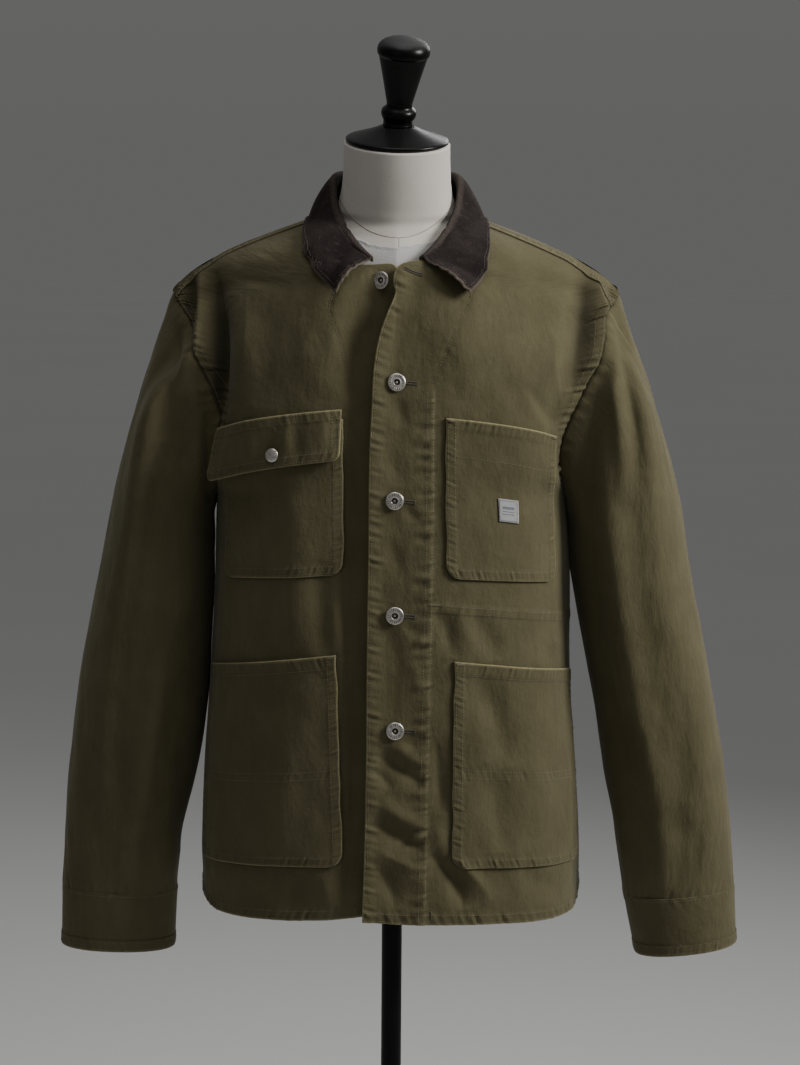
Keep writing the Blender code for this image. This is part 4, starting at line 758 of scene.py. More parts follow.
def panel_relief(name, rows, across, start, end):
    """Height of the seams' bands and ripples, with their worn marks, painted shade and painted shadows."""
    panel, side, seed = (PIECES[name][key] for key in ("panel", "side", "seed"))
    rows = rows[:, None] + np.zeros(across.shape)
    height = np.zeros(across.shape)
    wear_and_shade = np.zeros(across.shape)

    def add(seam, number, along, distance, mask=1.0):
        amount, centre, reach, period = PUCKERS[seam]
        wave = pucker(along, distance, centre, reach, period, seed + number) * mask
        np.add(height, amount * wave, out=height)
        # Ripple crests lighter, partly worn and partly painted light; ripple troughs darker as painted shade.
        np.add(wear_and_shade, np.where(wave < 0, 0.45, 0.22) * wave, out=wear_and_shade)

    past_hem = rows - HEM
    from_end = end[:, None] - across
    arm = ease(rows, UNDERARM_ROW, UNDERARM_ROW + 0.01)
    add("hem", 1, across, past_hem)
    height += 0.0006 * (1 - ease(past_hem, 0.009, 0.0125))
    add("armhole", 2, rows, from_end, arm)
    height += 0.0009 * arm * (1 - ease(from_end, 0.009, 0.013))
    add("side", 3, rows, from_end, 1 - arm)
    if panel is FRONT:
        add("edge_" + SIDES[side], 4, rows, across - start[:, None], 1 - ease(rows, 1.355, 1.37))
        over = above_line(across, rows, SHOULDER_LINES[side])
        # A painted shadow line just under the shoulder seam's folded edge.
        wear_and_shade -= 1.6 * bell(over + 0.0012, 0.0011) * ease(rows, 1.372, 1.38)
        distance, along = near_line(across, rows, FACING_LINES[side])
        height += 0.00022 * pucker(along, distance, 0.0, 0.007, 0.01, seed + 5)
        height -= 0.0004 * bell(distance, 0.0026)
        wear_and_shade -= 0.22 * bell(distance, 0.0014)
    if name == "front_left":
        inner = np.interp(rows, PLACKET_LINE[:, 1], PLACKET_LINE[:, 0]) - across
        below = 1 - ease(rows, 1.235, 1.255)
        add("placket_in", 6, rows, inner, below)
        add("placket_out", 7, rows, inner, below)
        height += 0.0009 * below * ease(inner, -0.0014, 0.0008)
        wear_and_shade += 0.35 * below * bell(inner - 0.0004, 0.0012)
        cross = above_line(across, rows, CROSS_LINE)
        span = ease(across, 0.034, 0.04)
        add("cross", 8, across, -cross, span)
        height += 0.0006 * span * ease(cross, -0.0082, -0.006) * (1 - ease(cross, 0.0008, 0.0026))
    if name == "front_right":
        height *= ease(across, 0.022, 0.032)
    # A painted shadow lies on the cloth just outside each pocket's edge.
    for size in POCKETS.values():
        if size["host"] == name:
            distance, _ = near_line(across, rows, pocket_outline(size, 0.0, size["top"]))
            wear_and_shade -= 0.85 * bell(distance, 0.0019)
    return height, wear_and_shade


def panel_grid(name, step):
    """A body panel's sheet."""
    piece = PIECES[name]
    panel = piece["panel"]
    foot, top = panel["row"][[0, -1]]
    rows, row_drop = rolled(foot, top, step * ROW_SHARE, FREE_EDGE, OPEN_EDGE)
    end = section_length(panel, np.clip(rows, foot, top))
    start, edge = np.zeros(len(rows)), OPEN_EDGE
    if piece["edge"]:
        start, edge = -read(piece["edge"], "x", rows), FREE_EDGE
    across, column_drop = rolled(start, end, step, edge, SEAM_EDGE)
    points, normals = panel_base(name, rows, across)
    height, wear_and_shade = panel_relief(name, rows, across, start, end)
    drop = np.maximum(row_drop[:, None], column_drop[None, :])
    turned_wear = np.full(across.shape, 0.75)
    turned_wear[:, -len(SEAM_EDGE):] = -0.5
    rim = rows[:, None] - foot + 0 * across
    if piece["edge"]:
        rim = np.minimum(rim, across - start[:, None])
    wear_and_shade = (wear_and_shade + turned_wear * is_turned(drop) + 0.4 * bell(rim, 0.0013)
            + deep_shade(CREASES.get(name, ()), points))
    points = points + normals * (height - WALL * drop)[..., None]
    flat = np.stack((across, rows[:, None] + np.zeros(across.shape)), axis=-1)
    return Sheet(points, rows, across, wear_and_shade, flat, normals, (len(FREE_EDGE) - 1, 0, len(edge) - 1, 0))


def felled_grid(name):
    """The folded edge that lies along a shoulder seam."""
    side = PIECES[name]["side"]
    line = SHOULDER_LINES[side]
    across = np.linspace(0.01, line[-1, 0], 190)
    base = np.interp(across, line[:, 0], line[:, 1])[:, None]
    rows = base + FELL[:, 0]
    end = section_length(FRONT, rows.ravel()).reshape(rows.shape)
    wide = np.minimum(across[:, None] + 0 * rows, end - 0.0006)
    points, normals = panel_base(name, rows, wide)
    wave = pucker(across[:, None] + 0 * rows, rows - base, 0.004, 0.004, 0.0085, 640 + side)
    lift = FELL[:, 1] + 0.00035 * wave
    # Ripple crests and the seam's ridge lighter, partly worn and partly painted light; ripple troughs darker
    # as painted shade.
    wear_and_shade = 0.25 * wave + 0.35 * bell(rows - base, 0.0012)
    flat = np.stack((wide, rows), axis=-1)
    return Sheet(points + normals * lift[..., None], across, rows, wear_and_shade, flat, normals)


# ---- patches on the fronts
def patch_grid(host, size, left, right, lift, relief, slant=0.0, turn=0.0):
    """A patch's sheet: left and right give its sides by row, lift its underside's height.

    Slant raises the outer end of its top, and turn raises the outer end of all of it."""
    foot, top, corner = size["foot"], size["top"], size.get("corner")
    edge = len(PATCH_EDGE) - 1
    rows, row_drop = rolled(foot, top, PATCH_STEP, PATCH_EDGE, PATCH_EDGE)
    inset = np.zeros(len(rows))
    if corner:
        rise = np.clip((rows - foot) / corner, 0, 1)
        inset = corner * (1 - np.sqrt(np.clip(1 - (1 - rise) ** 2, 0, 1)))
    low, high = left(rows), right(rows)
    across, column_drop = rolled(low + inset, high - inset, PATCH_STEP, PATCH_EDGE, PATCH_EDGE)
    tall = rows[:, None] + np.zeros(across.shape)
    edges = dict(left=across - low[:, None], right=high[:, None] - across, foot=tall - foot, top=top - tall)
    share = np.clip(edges["left"] / (high - low)[:, None], 0, 1)
    lean = slant * edges["foot"] / (top - foot) + turn
    points, normals = panel_base(host, tall + lean * share, across)
    height, wear_and_shade = relief(edges, across, tall)
    drop = np.maximum(row_drop[:, None], column_drop[None, :])
    rim = np.minimum.reduce([np.maximum(distance, 0) for distance in edges.values()])
    wear_and_shade = wear_and_shade + 0.85 * is_turned(drop, 0.75) + 0.45 * bell(rim, 0.0011)
    under = lift(tall, share) if callable(lift) else lift
    out = under + (WALL if corner else LABEL_WALL) * (1 - drop) + height * (1 - drop) + 0.0001
    return Sheet(points + normals * out[..., None], rows, across, wear_and_shade, np.stack((across, tall), axis=-1),
                 normals, (edge, edge, edge, edge))


def sewn_edges(edges, across, rows, periods, amount, seed):
    """Ripples between the edges' two stitch lines, and the thicker turning under them."""
    height = np.zeros(across.shape)
    wear_and_shade = np.zeros(across.shape)
    for number, (name, period) in enumerate(zip(("left", "right", "foot", "top"), periods)):
        along = rows if name in ("left", "right") else across
        wave = pucker(along, edges[name], 0.0052, 0.005, period, seed + number)
        height += amount * wave + 0.00045 * (1 - ease(edges[name], 0.008, 0.0115))
        # Ripple crests lighter, partly worn and partly painted light; ripple troughs darker as painted shade.
        wear_and_shade += np.where(wave < 0, 0.42, 0.22) * wave
    return height, wear_and_shade


def pocket_grid(name, seed, top_band, cross_row=None):
    size = POCKETS[name]

    def relief(edges, across, rows):
        height, wear_and_shade = sewn_edges(edges, across, rows, (0.00598, 0.00644, 0.00575), 0.0008, seed)
        wave = pucker(across, edges["top"], top_band / 2, top_band / 2, 0.0062, seed + 7)
        height += 0.00075 * wave + 0.0005 * (1 - ease(edges["top"], top_band - 0.001, top_band + 0.002))
        # Ripple crests lighter, partly worn and partly painted light; troughs darker as painted shade; the
        # same along the cross row.
        wear_and_shade += 0.22 * wave
        if cross_row:
            wave = pucker(across, rows - cross_row, 0.0, 0.0062, 0.0075, seed + 9)
            height += 0.00045 * wave
            wear_and_shade += 0.18 * wave
        # The mouth stands off a little between its corners.
        middle = hump(edges["left"] / (edges["left"] + edges["right"])) ** 2
        height += 0.002 * middle * bell(edges["top"], 0.03)
        height += 0.001 * middle * hump(edges["foot"] / (size["top"] - size["foot"]))
        return height, wear_and_shade

    return patch_grid(size["host"], size,
                      lambda rows: inner_side(size, rows) + 0.00055 * ripple(rows, 0.047, seed + 30),
                      lambda rows: size["outer"] + 0.00045 * ripple(rows, 0.041, seed + 31),
                      REST_GAP, relief, size.get("slant", 0.0))


def flap_grid():
    def lift(rows, share):
        """The flap's foot stands off, most of all at its outer corner."""
        hang = 1 - (rows - FLAP["foot"]) / (FLAP["top"] - FLAP["foot"])
        return 2 * REST_GAP + WALL + FLAP["flare"] * hang + 0.006 * hang * share**4 + 0.0025 * share**6

    def relief(edges, across, rows):
        """Upright waves, and a dimple that the stud pulls in."""
        height, wear_and_shade = sewn_edges(edges, across, rows, [0.0066] * 4, 0.00055, 71)
        wave = (np.sin(2 * math.pi * (across + 0.15 * rows) / 0.031 + 0.8)
                + 0.5 * np.sin(2 * math.pi * across / 0.019))
        height += 0.001 * wave * hump(edges["foot"] / 0.051)
        height -= 0.0018 * bell(np.hypot(across - STUD[0], rows - STUD[1]), 0.011)
        return height, wear_and_shade

    return patch_grid("front_right", FLAP, lambda rows: np.full(len(rows), FLAP["inner_foot"]),
                      lambda rows: np.full(len(rows), FLAP["outer"]), lift, relief)


def label_grid():
    def side(name, lean, period, seed):
        return lambda rows: (LABEL[name] + lean * (LABEL["top"] - rows) / 0.022
                             + 0.00018 * ripple(rows, period, seed))

    def relief(edges, across, rows):
        return 0.00008 * ripple(across + rows, 0.006, 5), np.zeros(across.shape)

    return patch_grid("front_left", LABEL, side("inner", 0.0012, 0.0031, 8),
                      side("outer", 0.001, 0.0027, 9), 2 * REST_GAP + WALL + 0.0012, relief, turn=-0.0016)


# ---- sleeves
def armhole(side, count):
    """The armhole loop at even shares from the tip down the front to the underarm and back."""
    runs = []
    for name, panel, order in (("front_", FRONT, -1), ("back_", BACK, 1)):
        rows = np.linspace(UNDERARM_ROW, panel["row"][-1], 60)
        end = section_length(panel, rows)[:, None]
        runs.append(panel_base(name + SIDES[side], rows, end)[0][::order, 0])
    front, back = runs
    front[0] = back[-1] = (front[0] + back[-1]) / 2
    front[-1] = back[0] = (front[-1] + back[0]) / 2
    even = np.linspace(0, 1, count // 2 + 1)[:-1]
    loop = np.vstack([along_run(points, run_of(points) / run_of(points)[-1], even) for points in runs])
    loop[:, 0] += side * SEAM_GAP
    return loop


def rounded(wave, roundness):
    """A circle's sine or cosine made squarer or more pointed."""
    return np.sign(wave) * np.abs(wave) ** (2 / roundness)


def tube_ring(side, z, share):
    """A sleeve's ring at a height."""
    x, y, wide, deep, slant = read(SLEEVES[side], "x y wide deep slant", z)
    across = rounded(np.cos(math.pi * share), SLEEVE_ROUNDNESS)
    along = rounded(np.sin(math.pi * share), SLEEVE_ROUNDNESS)
    return np.stack((side * (x + wide * across), y - deep * along, z + slant * wide * across), axis=1)


def ring_normals(rings, side):
    """Outward normals of a tube of rings that run from the top down."""
    wide = np.roll(rings, -1, axis=1) - np.roll(rings, 1, axis=1)
    return side * unit(np.cross(wide, np.gradient(rings, axis=0)))


def sleeve_base(side, share):
    """A sleeve's rings from the armhole to just under the cuff."""
    top = SLEEVES[side]["z"][-1]
    loop = armhole(side, len(share))
    first = tube_ring(side, top, share)
    below = tube_ring(side, top - 0.02, share)
    out, down = read(LEAVING, "out down", 1 - np.abs(1 - share)).T
    reach = np.linalg.norm(first - loop, axis=1)[:, None]
    leaving = unit(np.stack((side * out, np.zeros_like(out), -down), axis=1))
    control = np.stack((loop, loop + CAP_PULL[0] * reach * leaving,
                        first + CAP_PULL[1] * reach * unit(first - below), first), axis=1)
    steps = np.concatenate(([0.0, 0.006], np.linspace(0.02, 1.0, 58)))
    cap = bezier(control, np.tile(steps, (len(loop), 1))).transpose(1, 0, 2)
    foot = CUFF_TOP - CUFF_TUCK
    levels = np.arange(top - SLEEVE_STEP, foot, -SLEEVE_STEP)
    rings = np.concatenate((cap, [tube_ring(side, z, share) for z in levels]))
    fade = np.concatenate((steps, (levels - foot) / (top - foot)))
    rings[..., 1] -= SLEEVE_RIDGE * fade[:, None] * bell(share - RIDGE_SHARE, RIDGE_WIDTH)
    return rings


def sleeve_relief(side, rings, normals):
    """Creases on the front and, milder, on the hidden back of a sleeve or cuff."""
    front = ease(-normals[..., 1], -0.35, 0.25)
    x, z = rings[..., 0], rings[..., 2]
    return (front * crease_relief(CREASES["sleeve_" + SIDES[side]], x, z)
            + (1 - front) * crease_relief(SLEEVE_BACK, np.abs(x), z))


def sleeve_grid(side):
    share = np.linspace(0, 2, SLEEVE_SIDES + 1)[:-1]
    rings = sleeve_base(side, share)
    normals = ring_normals(rings, side)
    run = run_of(rings)
    around = share * SLEEVE_AROUND + 0 * run
    near = 1 - ease(run, 0.0, 0.055)
    height = sleeve_relief(side, rings, normals) * (1 - ease(near, 0.55, 1.0))
    wave = pucker(around, run, 0.004, 0.011, 0.011, 90 + side)
    cuff_wave = pucker(around * 0.75, run[-1:] - run - CUFF_TUCK, 0.004, 0.0065, 0.0085, 95 + side)
    height += 0.0013 * wave + 0.00095 * cuff_wave - 0.0014 * bell(run, 0.0014)
    height += rumple(around, run, 640 + side) * ease(run, 0.01, 0.05)
    # Ripple crests lighter, partly worn and partly painted light; troughs darker as painted shade; a darker
    # line at the armhole seam.
    wear_and_shade = 0.3 * wave + 0.3 * cuff_wave - 0.5 * bell(run, 0.0016)
    points = rings + normals * height[..., None]
    # Below the armhole it rests against the body and doesn't pass into it.
    low = points[..., 2].max(axis=1) < SLEEVE_FREE
    inner = low[:, None] & (np.abs(points[..., 0]) < SLEEVE_NEAR)
    points[inner] = keep_off(points[inner], BODY_TREE, False, SLEEVE_CLEAR, False)
    # A turning that runs on under the body panels and closes the seam.
    under = points[0] - normals[0] * 0.002
    under[:, 0] -= side * 0.006
    points = np.concatenate((under[None], points))
    wear_and_shade, normals = (np.concatenate((values[:1], values)) for values in (wear_and_shade, normals))
    run = np.concatenate((run[:1] - 0.006, run))
    flat = np.stack((around[:1] + 0 * run, run), axis=-1)
    return Sheet(points, np.arange(len(points)), share + 0 * run, wear_and_shade, flat, normals)


def cuff_grid(side):
    """The turned band at the end of a sleeve."""
    share = np.linspace(0, 2, SLEEVE_SIDES + 1)[:-1]
    foot = SLEEVES[side]["z"][0]
    levels, drop = rolled(foot, CUFF_TOP + 0.001, 0.0018, FREE_EDGE, PATCH_EDGE[1:])
    rings = np.array([tube_ring(side, max(z, foot), share) for z in levels])
    normals = -ring_normals(rings, side)
    up = levels[:, None] - foot + 0 * share
    around = share * CUFF_AROUND + 0 * up
    hem_wave = pucker(around, up, 0.0052, 0.0058, 0.007, 101 + side)
    top_wave = pucker(around, CUFF_TOP - foot - up, 0.002, 0.0065, 0.01, 103 + side)
    height = (sleeve_relief(side, rings, normals) + 0.001 * hem_wave + 0.0005 * top_wave + 0.0006
              + 0.00045 * (1 - ease(up, 0.0088, 0.0108)))
    turned_foot = (is_turned(drop) & (levels < foot + 0.01))[:, None]
    # Ripple crests lighter, partly worn and partly painted light; troughs darker as painted shade; the turned
    # foot and hem are worn lighter.
    wear_and_shade = 0.24 * hem_wave + 0.15 * top_wave + 0.6 * turned_foot + 0.35 * bell(up, 0.0014)
    wall = np.where(levels > (foot + CUFF_TOP) / 2, 0.0009, WALL)
    points = rings + normals * (height - (wall * drop)[:, None])[..., None]
    return Sheet(points, levels, share + 0 * up, wear_and_shade, np.stack((around, up), axis=-1), normals,
                 (len(FREE_EDGE) - 1, len(PATCH_EDGE) - 2, 0, 0))


# ---- clearance
def grid_quads(rows, columns, wrap=False, first=0, flip=False):
    r = np.arange(rows - 1)[:, None]
    c = np.arange(columns if wrap else columns - 1)[None, :]
    a = first + r * columns + c
    b = first + r * columns + (c + 1) % columns
    quads = np.stack((a, b, b + columns, a + columns), axis=-1).reshape(-1, 4)
    return (quads[:, ::-1] if flip else quads).tolist()


def tree_of(grids, wrap=False):
    """A search tree over grids of points."""
    vertices, faces = [], []
    for grid in grids:
        faces += grid_quads(*grid.shape[:2], wrap, len(vertices))
        vertices += [Vector(point) for point in grid.reshape(-1, 3)]
    return BVHTree.FromPolygons(vertices, faces)


def body_tree(depth=0.0):
    """A search tree over the body panels, or over what lies this far under them."""
    panels = [sheets[name] for name in PIECES]
    return tree_of([(sheet.points - sheet.normals * depth)[sheet.main] for sheet in panels])


def keep_off(points, tree, inside, clearance, past_edge=True):
    """Moves points that lie too near a surface away from it, past its edges only if asked."""
    moved = points.copy()
    flat = moved.reshape(-1, 3)
    for i, point in enumerate(points.reshape(-1, 3)):
        place, normal, _, _ = tree.find_nearest(Vector(point))
        axis = Vector((0, 0, min(place.z, CHEST_HEIGHT)))
        if (normal.dot(place - axis) < 0) != inside:
            normal = -normal
        offset = Vector(point) - place
        height = offset.dot(normal)
        aside = (offset - normal * height).length
        if height < clearance and (past_edge or aside < 0.002 + 0.3 * abs(height)):
            flat[i] = np.array(Vector(point) + normal * (clearance - height))
    return moved


# ---- materials
def scaled(colour, by):
    return tuple(by * value for value in colour)


class Nodes:
    """Short names for building one material."""

    def __init__(self, name):
        self.material = bpy.data.materials.new(name)
        self.material.use_nodes = True
        self.tree = self.material.node_tree
        self.shader = self.tree.nodes["Principled BSDF"]

    def add(self, kind, inputs=None, **options):
        node = self.tree.nodes.new("ShaderNode" + kind)
        for name, value in options.items():
            setattr(node, name, value)
        for name, value in (inputs or {}).items():
            self.put(node.inputs[name], value)
        return node

    def put(self, socket, value):
        if isinstance(value, bpy.types.NodeSocket):
            self.tree.links.new(value, socket)
        else:
            socket.default_value = value

    @cached_property
    def flat(self):
        return self.add("UVMap", uv_map="cloth").outputs[0]

    @cached_property
    def place(self):
        return self.add("TexCoord").outputs["Object"]

    # The cloth's attribute holds worn marks and painted light and shade: darker ripple and crease troughs,
    # shadows beside pockets and seams, lighter ripple crests.
    @cached_property
    def wear_and_shade(self):
        return self.add("Attribute", attribute_name="wear_and_shade").outputs["Fac"]

    def part(self, vector, axis):
        return self.add("SeparateXYZ", {"Vector": vector}).outputs[axis]

    def math(self, operation, a, b=0.0):
        return self.add("Math", {0: a, 1: b}, operation=operation).outputs[0]

    def times(self, a, b):
        return self.math("MULTIPLY", a, b)

    def away(self, value, middle):
        return self.math("ABSOLUTE", self.math("SUBTRACT", value, middle))

    def noise(self, scale, detail=3.0, rough=0.55, vector=None):
        inputs = {"Vector": vector or self.place, "Scale": scale, "Detail": detail, "Roughness": rough}
        return self.add("TexNoise", inputs).outputs["Fac"]

    def drawn(self, vector, scale, detail=2.0, rough=0.55):
        """Noise drawn out by a scale for each axis."""
        stretched = self.add("Mapping", {"Vector": vector, "Scale": scale}).outputs[0]
        return self.noise(1.0, detail, rough, stretched)

    def mix(self, share, a, b):
        node = self.add("Mix", data_type="RGBA")
        for key, value in (("Factor_Float", share), ("A_Color", a), ("B_Color", b)):
            socket = next(s for s in node.inputs if s.identifier == key)
            self.put(socket, (*value, 1.0) if isinstance(value, tuple) else value)
        return next(s for s in node.outputs if s.identifier == "Result_Color")

    def ramp(self, value, low, high, to_low=0.0, to_high=1.0):
        return self.add("MapRange", {"Value": value, "From Min": low, "From Max": high,
                                     "To Min": to_low, "To Max": to_high}).outputs[0]

    def bump(self, *layers):
        """Bumps laid one over the other: height, strength and distance of each."""
        below = None
        for height, strength, distance in layers:
            node = self.add("Bump", {"Height": height, "Strength": strength, "Distance": distance})
            if below:
                self.put(node.inputs["Normal"], below)
            below = node.outputs[0]
        return below

    def set(self, **inputs):
        for name, value in inputs.items():
            self.put(self.shader.inputs[name.replace("_", " ")], value)
        return self.material


def duck_material(base, light, dark):
    """Washed cotton duck: plain weave, slubs, nap and uneven fading."""
    n = Nodes("duck")
    warp = n.drawn(n.flat, (1500.0, 120.0, 1.0))
    weft = n.drawn(n.flat, (110.0, 1300.0, 1.0))
    weave = n.times(*(n.math("SINE", n.times(n.part(n.flat, axis), pitch))
                      for axis, pitch in ((0, 9500.0), (1, 8200.0))))
    broad = n.noise(9.0)
    patch = n.noise(38.0, 4.0, 0.6)
    nap = n.noise(420.0, 3.0, 0.6)
    streak = n.drawn(n.flat, (150.0, 16.0, 1.0), 3.0, 0.6)
    crush = n.drawn(n.flat, (62.0, 34.0, 1.0), 4.0, 0.6)
    threads = n.math("ADD", n.times(warp, 0.5), n.times(weft, 0.5))
    # Lightening: worn edges, and ripple crests that are partly worn and partly painted light.
    rubbed_and_lit = n.times(n.ramp(n.wear_and_shade, 0.05, 1.0, 0.0, 0.85), n.ramp(nap, 0.3, 0.6, 0.45, 1.0))
    colour = n.mix(n.ramp(broad, 0.35, 0.68), dark, base)
    for share, over in ((n.ramp(patch, 0.4, 0.72, 0.0, 0.45), light),
                        (n.ramp(streak, 0.5, 0.74, 0.0, 0.35), scaled(dark, 0.8)),
                        (n.ramp(threads, 0.42, 0.62, 0.0, 0.3), light),
                        (rubbed_and_lit, scaled(light, 2.3)),
                        # Darkening: painted shade in ripple and crease troughs, painted shadows beside
                        # pockets and seams, darker seam joints; the next step is painted shade in the deepest
                        # creases.
                        (n.ramp(n.wear_and_shade, -0.05, -1.0, 0.0, 0.75), scaled(dark, 0.45)),
                        (n.ramp(n.wear_and_shade, -1.0, -1.6, 0.0, 0.6), scaled(dark, 0.2))):
        colour = n.mix(share, colour, over)
    bump = n.bump((weave, 0.1, 0.0002), (threads, 0.32, 0.0006), (patch, 0.24, 0.003),
                  (crush, 0.3, 0.006), (nap, 0.14, 0.0006))
    return n.set(Base_Color=colour, Roughness=n.ramp(nap, 0.3, 0.7, 0.82, 0.94), Normal=bump,
                 Sheen_Weight=0.18, Sheen_Roughness=0.45, Sheen_Tint=(0.62, 0.6, 0.48, 1.0),
                 Specular_IOR_Level=0.25)


def pile_material():
    """Dark brown fine corduroy, worn lighter at its edges and roll, with a little painted light on the crests
    of its creases.
    """
    n = Nodes("collar_pile")
    wobble = n.times(n.drawn(n.flat, (60.0, 300.0, 1.0)), 1.6)
    wale = n.math("SINE", n.math("ADD", n.times(n.part(n.flat, 1), 2 * math.pi / 0.0017), wobble))
    blotch = n.noise(60.0, 5.0, 0.62)
    fine = n.noise(520.0, 3.0, 0.6)
    scuff = n.drawn(n.place, (330.0, 330.0, 62.0), 4.0, 0.7)
    rubbed_and_lit = n.times(n.ramp(n.wear_and_shade, 0.05, 1.0), n.ramp(fine, 0.3, 0.62, 0.35, 1.0))
    colour = n.mix(n.ramp(blotch, 0.36, 0.66), (0.009, 0.0062, 0.0058), (0.0165, 0.0117, 0.011))
    for share, over in ((n.ramp(wale, -0.9, 0.9, 0.0, 0.16), (0.026, 0.019, 0.0175)),
                        (n.ramp(scuff, 0.57, 0.7, 0.0, 0.5), (0.07, 0.057, 0.052)),
                        (rubbed_and_lit, (0.135, 0.11, 0.092))):
        colour = n.mix(share, colour, over)
    return n.set(Base_Color=colour, Roughness=0.92, Sheen_Weight=0.12, Sheen_Roughness=0.4,
                 Normal=n.bump((wale, 0.22, 0.0005), (blotch, 0.3, 0.003), (fine, 0.35, 0.0007)),
                 Sheen_Tint=(0.5, 0.4, 0.37, 1.0), Specular_IOR_Level=0.15)


def thread_material(name, colour, lighter):
    n = Nodes(name)
    strand = n.noise(900.0, 2.0)
    shade = n.mix(n.ramp(n.noise(30.0), 0.35, 0.65), colour, lighter)
    shade = n.mix(n.ramp(strand, 0.35, 0.7, 0.0, 0.35), shade, scaled(colour, 0.5))
    return n.set(Base_Color=shade, Roughness=0.75, Normal=n.bump((strand, 0.4, 0.0003)))


def form_material(name, base, shade, grain_scale, strength):
    n = Nodes(name)
    broad = n.noise(14.0, 4.0, 0.6)
    fine = n.noise(grain_scale, 4.0, 0.65)
    speck = n.noise(160.0, 2.0)
    colour = n.mix(n.ramp(broad, 0.35, 0.7), shade, base)
    colour = n.mix(n.ramp(fine, 0.45, 0.7, 0.0, 0.22), colour, scaled(shade, 0.72))
    colour = n.mix(n.ramp(speck, 0.66, 0.74, 0.0, 0.25), colour, (0.3, 0.26, 0.2))
    return n.set(Base_Color=colour, Roughness=0.88, Sheen_Weight=0.12, Specular_IOR_Level=0.3,
                 Normal=n.bump((fine, strength, 0.0006), (broad, 0.1, 0.005)))


def lacquer_material():
    """Black gloss; the dome on top is worn matte, and what faces up has painted light from above, most of all
    on the dome.
    """
    n = Nodes("lacquer")
    fine = n.noise(600.0)
    colour = n.mix(n.ramp(n.noise(45.0), 0.35, 0.7), (0.0014, 0.0014, 0.0014), (0.0028, 0.0028, 0.0028))
    facing = n.part(n.add("TexCoord").outputs["Normal"], 2)
    # Up-facing surfaces, above all the dome, get painted light from above in their colour; the dome's top is
    # also rougher.
    dull_and_top_lit = n.times(n.ramp(facing, 0.1, 0.8), n.ramp(n.part(n.place, 2), 1.568, 1.573, 0.12, 1.0))
    rough = n.math("ADD", n.ramp(fine, 0.35, 0.75, 0.27, 0.31), n.times(dull_and_top_lit, 0.25))
    return n.set(Base_Color=n.mix(dull_and_top_lit, colour, (0.04, 0.04, 0.041)), Roughness=rough,
                 Normal=n.bump((fine, 0.02, 0.0003)), Specular_IOR_Level=0.15)


def enamel_material():
    n = Nodes("black_metal")
    broad = n.noise(20.0)
    colour = n.mix(n.ramp(broad, 0.35, 0.7), (0.0018, 0.0018, 0.0019), (0.0036, 0.0036, 0.0038))
    return n.set(Base_Color=colour, Roughness=n.ramp(broad, 0.3, 0.7, 0.3, 0.42),
                 Normal=n.bump((n.noise(260.0), 0.1, 0.0006)), Specular_IOR_Level=0.16)


def button_material():
    """Pressed nickel-silver with dirt in its recesses."""
    n = Nodes("button_metal")
    fine = n.noise(1400.0)
    colour = n.mix(n.ramp(n.noise(220.0, 4.0), 0.35, 0.7), (0.46, 0.43, 0.39), (0.66, 0.64, 0.6))
    colour = n.mix(n.ramp(n.wear_and_shade, -0.05, -1.0), colour, (0.085, 0.072, 0.06))
    return n.set(Base_Color=colour, Roughness=n.ramp(fine, 0.3, 0.7, 0.26, 0.44), Metallic=0.92,
                 Normal=n.bump((fine, 0.12, 0.0002)))


def label_material():
    """Bare off-white woven cotton with plain woven bands and a frame."""
    n = Nodes("label_cloth")
    x = n.ramp(n.part(n.flat, 0), LABEL["inner"], LABEL["outer"])
    y = n.ramp(n.part(n.flat, 1), LABEL["foot"], LABEL["top"])
    fine = n.noise(2600.0, 2.0, vector=n.flat)
    ribs = n.math("SINE", n.times(n.part(n.flat, 1), 2 * math.pi / 0.0005))
    bands = 0.0
    for middle, half in ((0.62, 0.06), (0.46, 0.022), (0.34, 0.022)):
        bands = n.math("MAXIMUM", bands, n.math("LESS_THAN", n.away(y, middle), half))
    bands = n.times(bands, n.math("LESS_THAN", n.away(x, 0.5), 0.3))
    out = n.math("MAXIMUM", n.away(x, 0.5), n.away(y, 0.5))
    bands = n.math("MAXIMUM", bands, n.math("LESS_THAN", n.away(out, 0.445), 0.016))
    colour = n.mix(n.ramp(fine, 0.35, 0.7), (0.25, 0.25, 0.255), (0.36, 0.36, 0.36))
    colour = n.mix(n.times(bands, n.ramp(fine, 0.3, 0.6, 0.45, 0.95)), colour, (0.085, 0.095, 0.12))
    return n.set(Base_Color=colour, Roughness=0.8, Specular_IOR_Level=0.3,
                 Normal=n.bump((ribs, 0.25, 0.0002)))


def floor_material():
    n = Nodes("studio_floor")
    return n.set(Base_Color=n.mix(n.noise(0.8, 2.0), (0.6, 0.6, 0.6), (0.64, 0.64, 0.64)), Roughness=0.9)


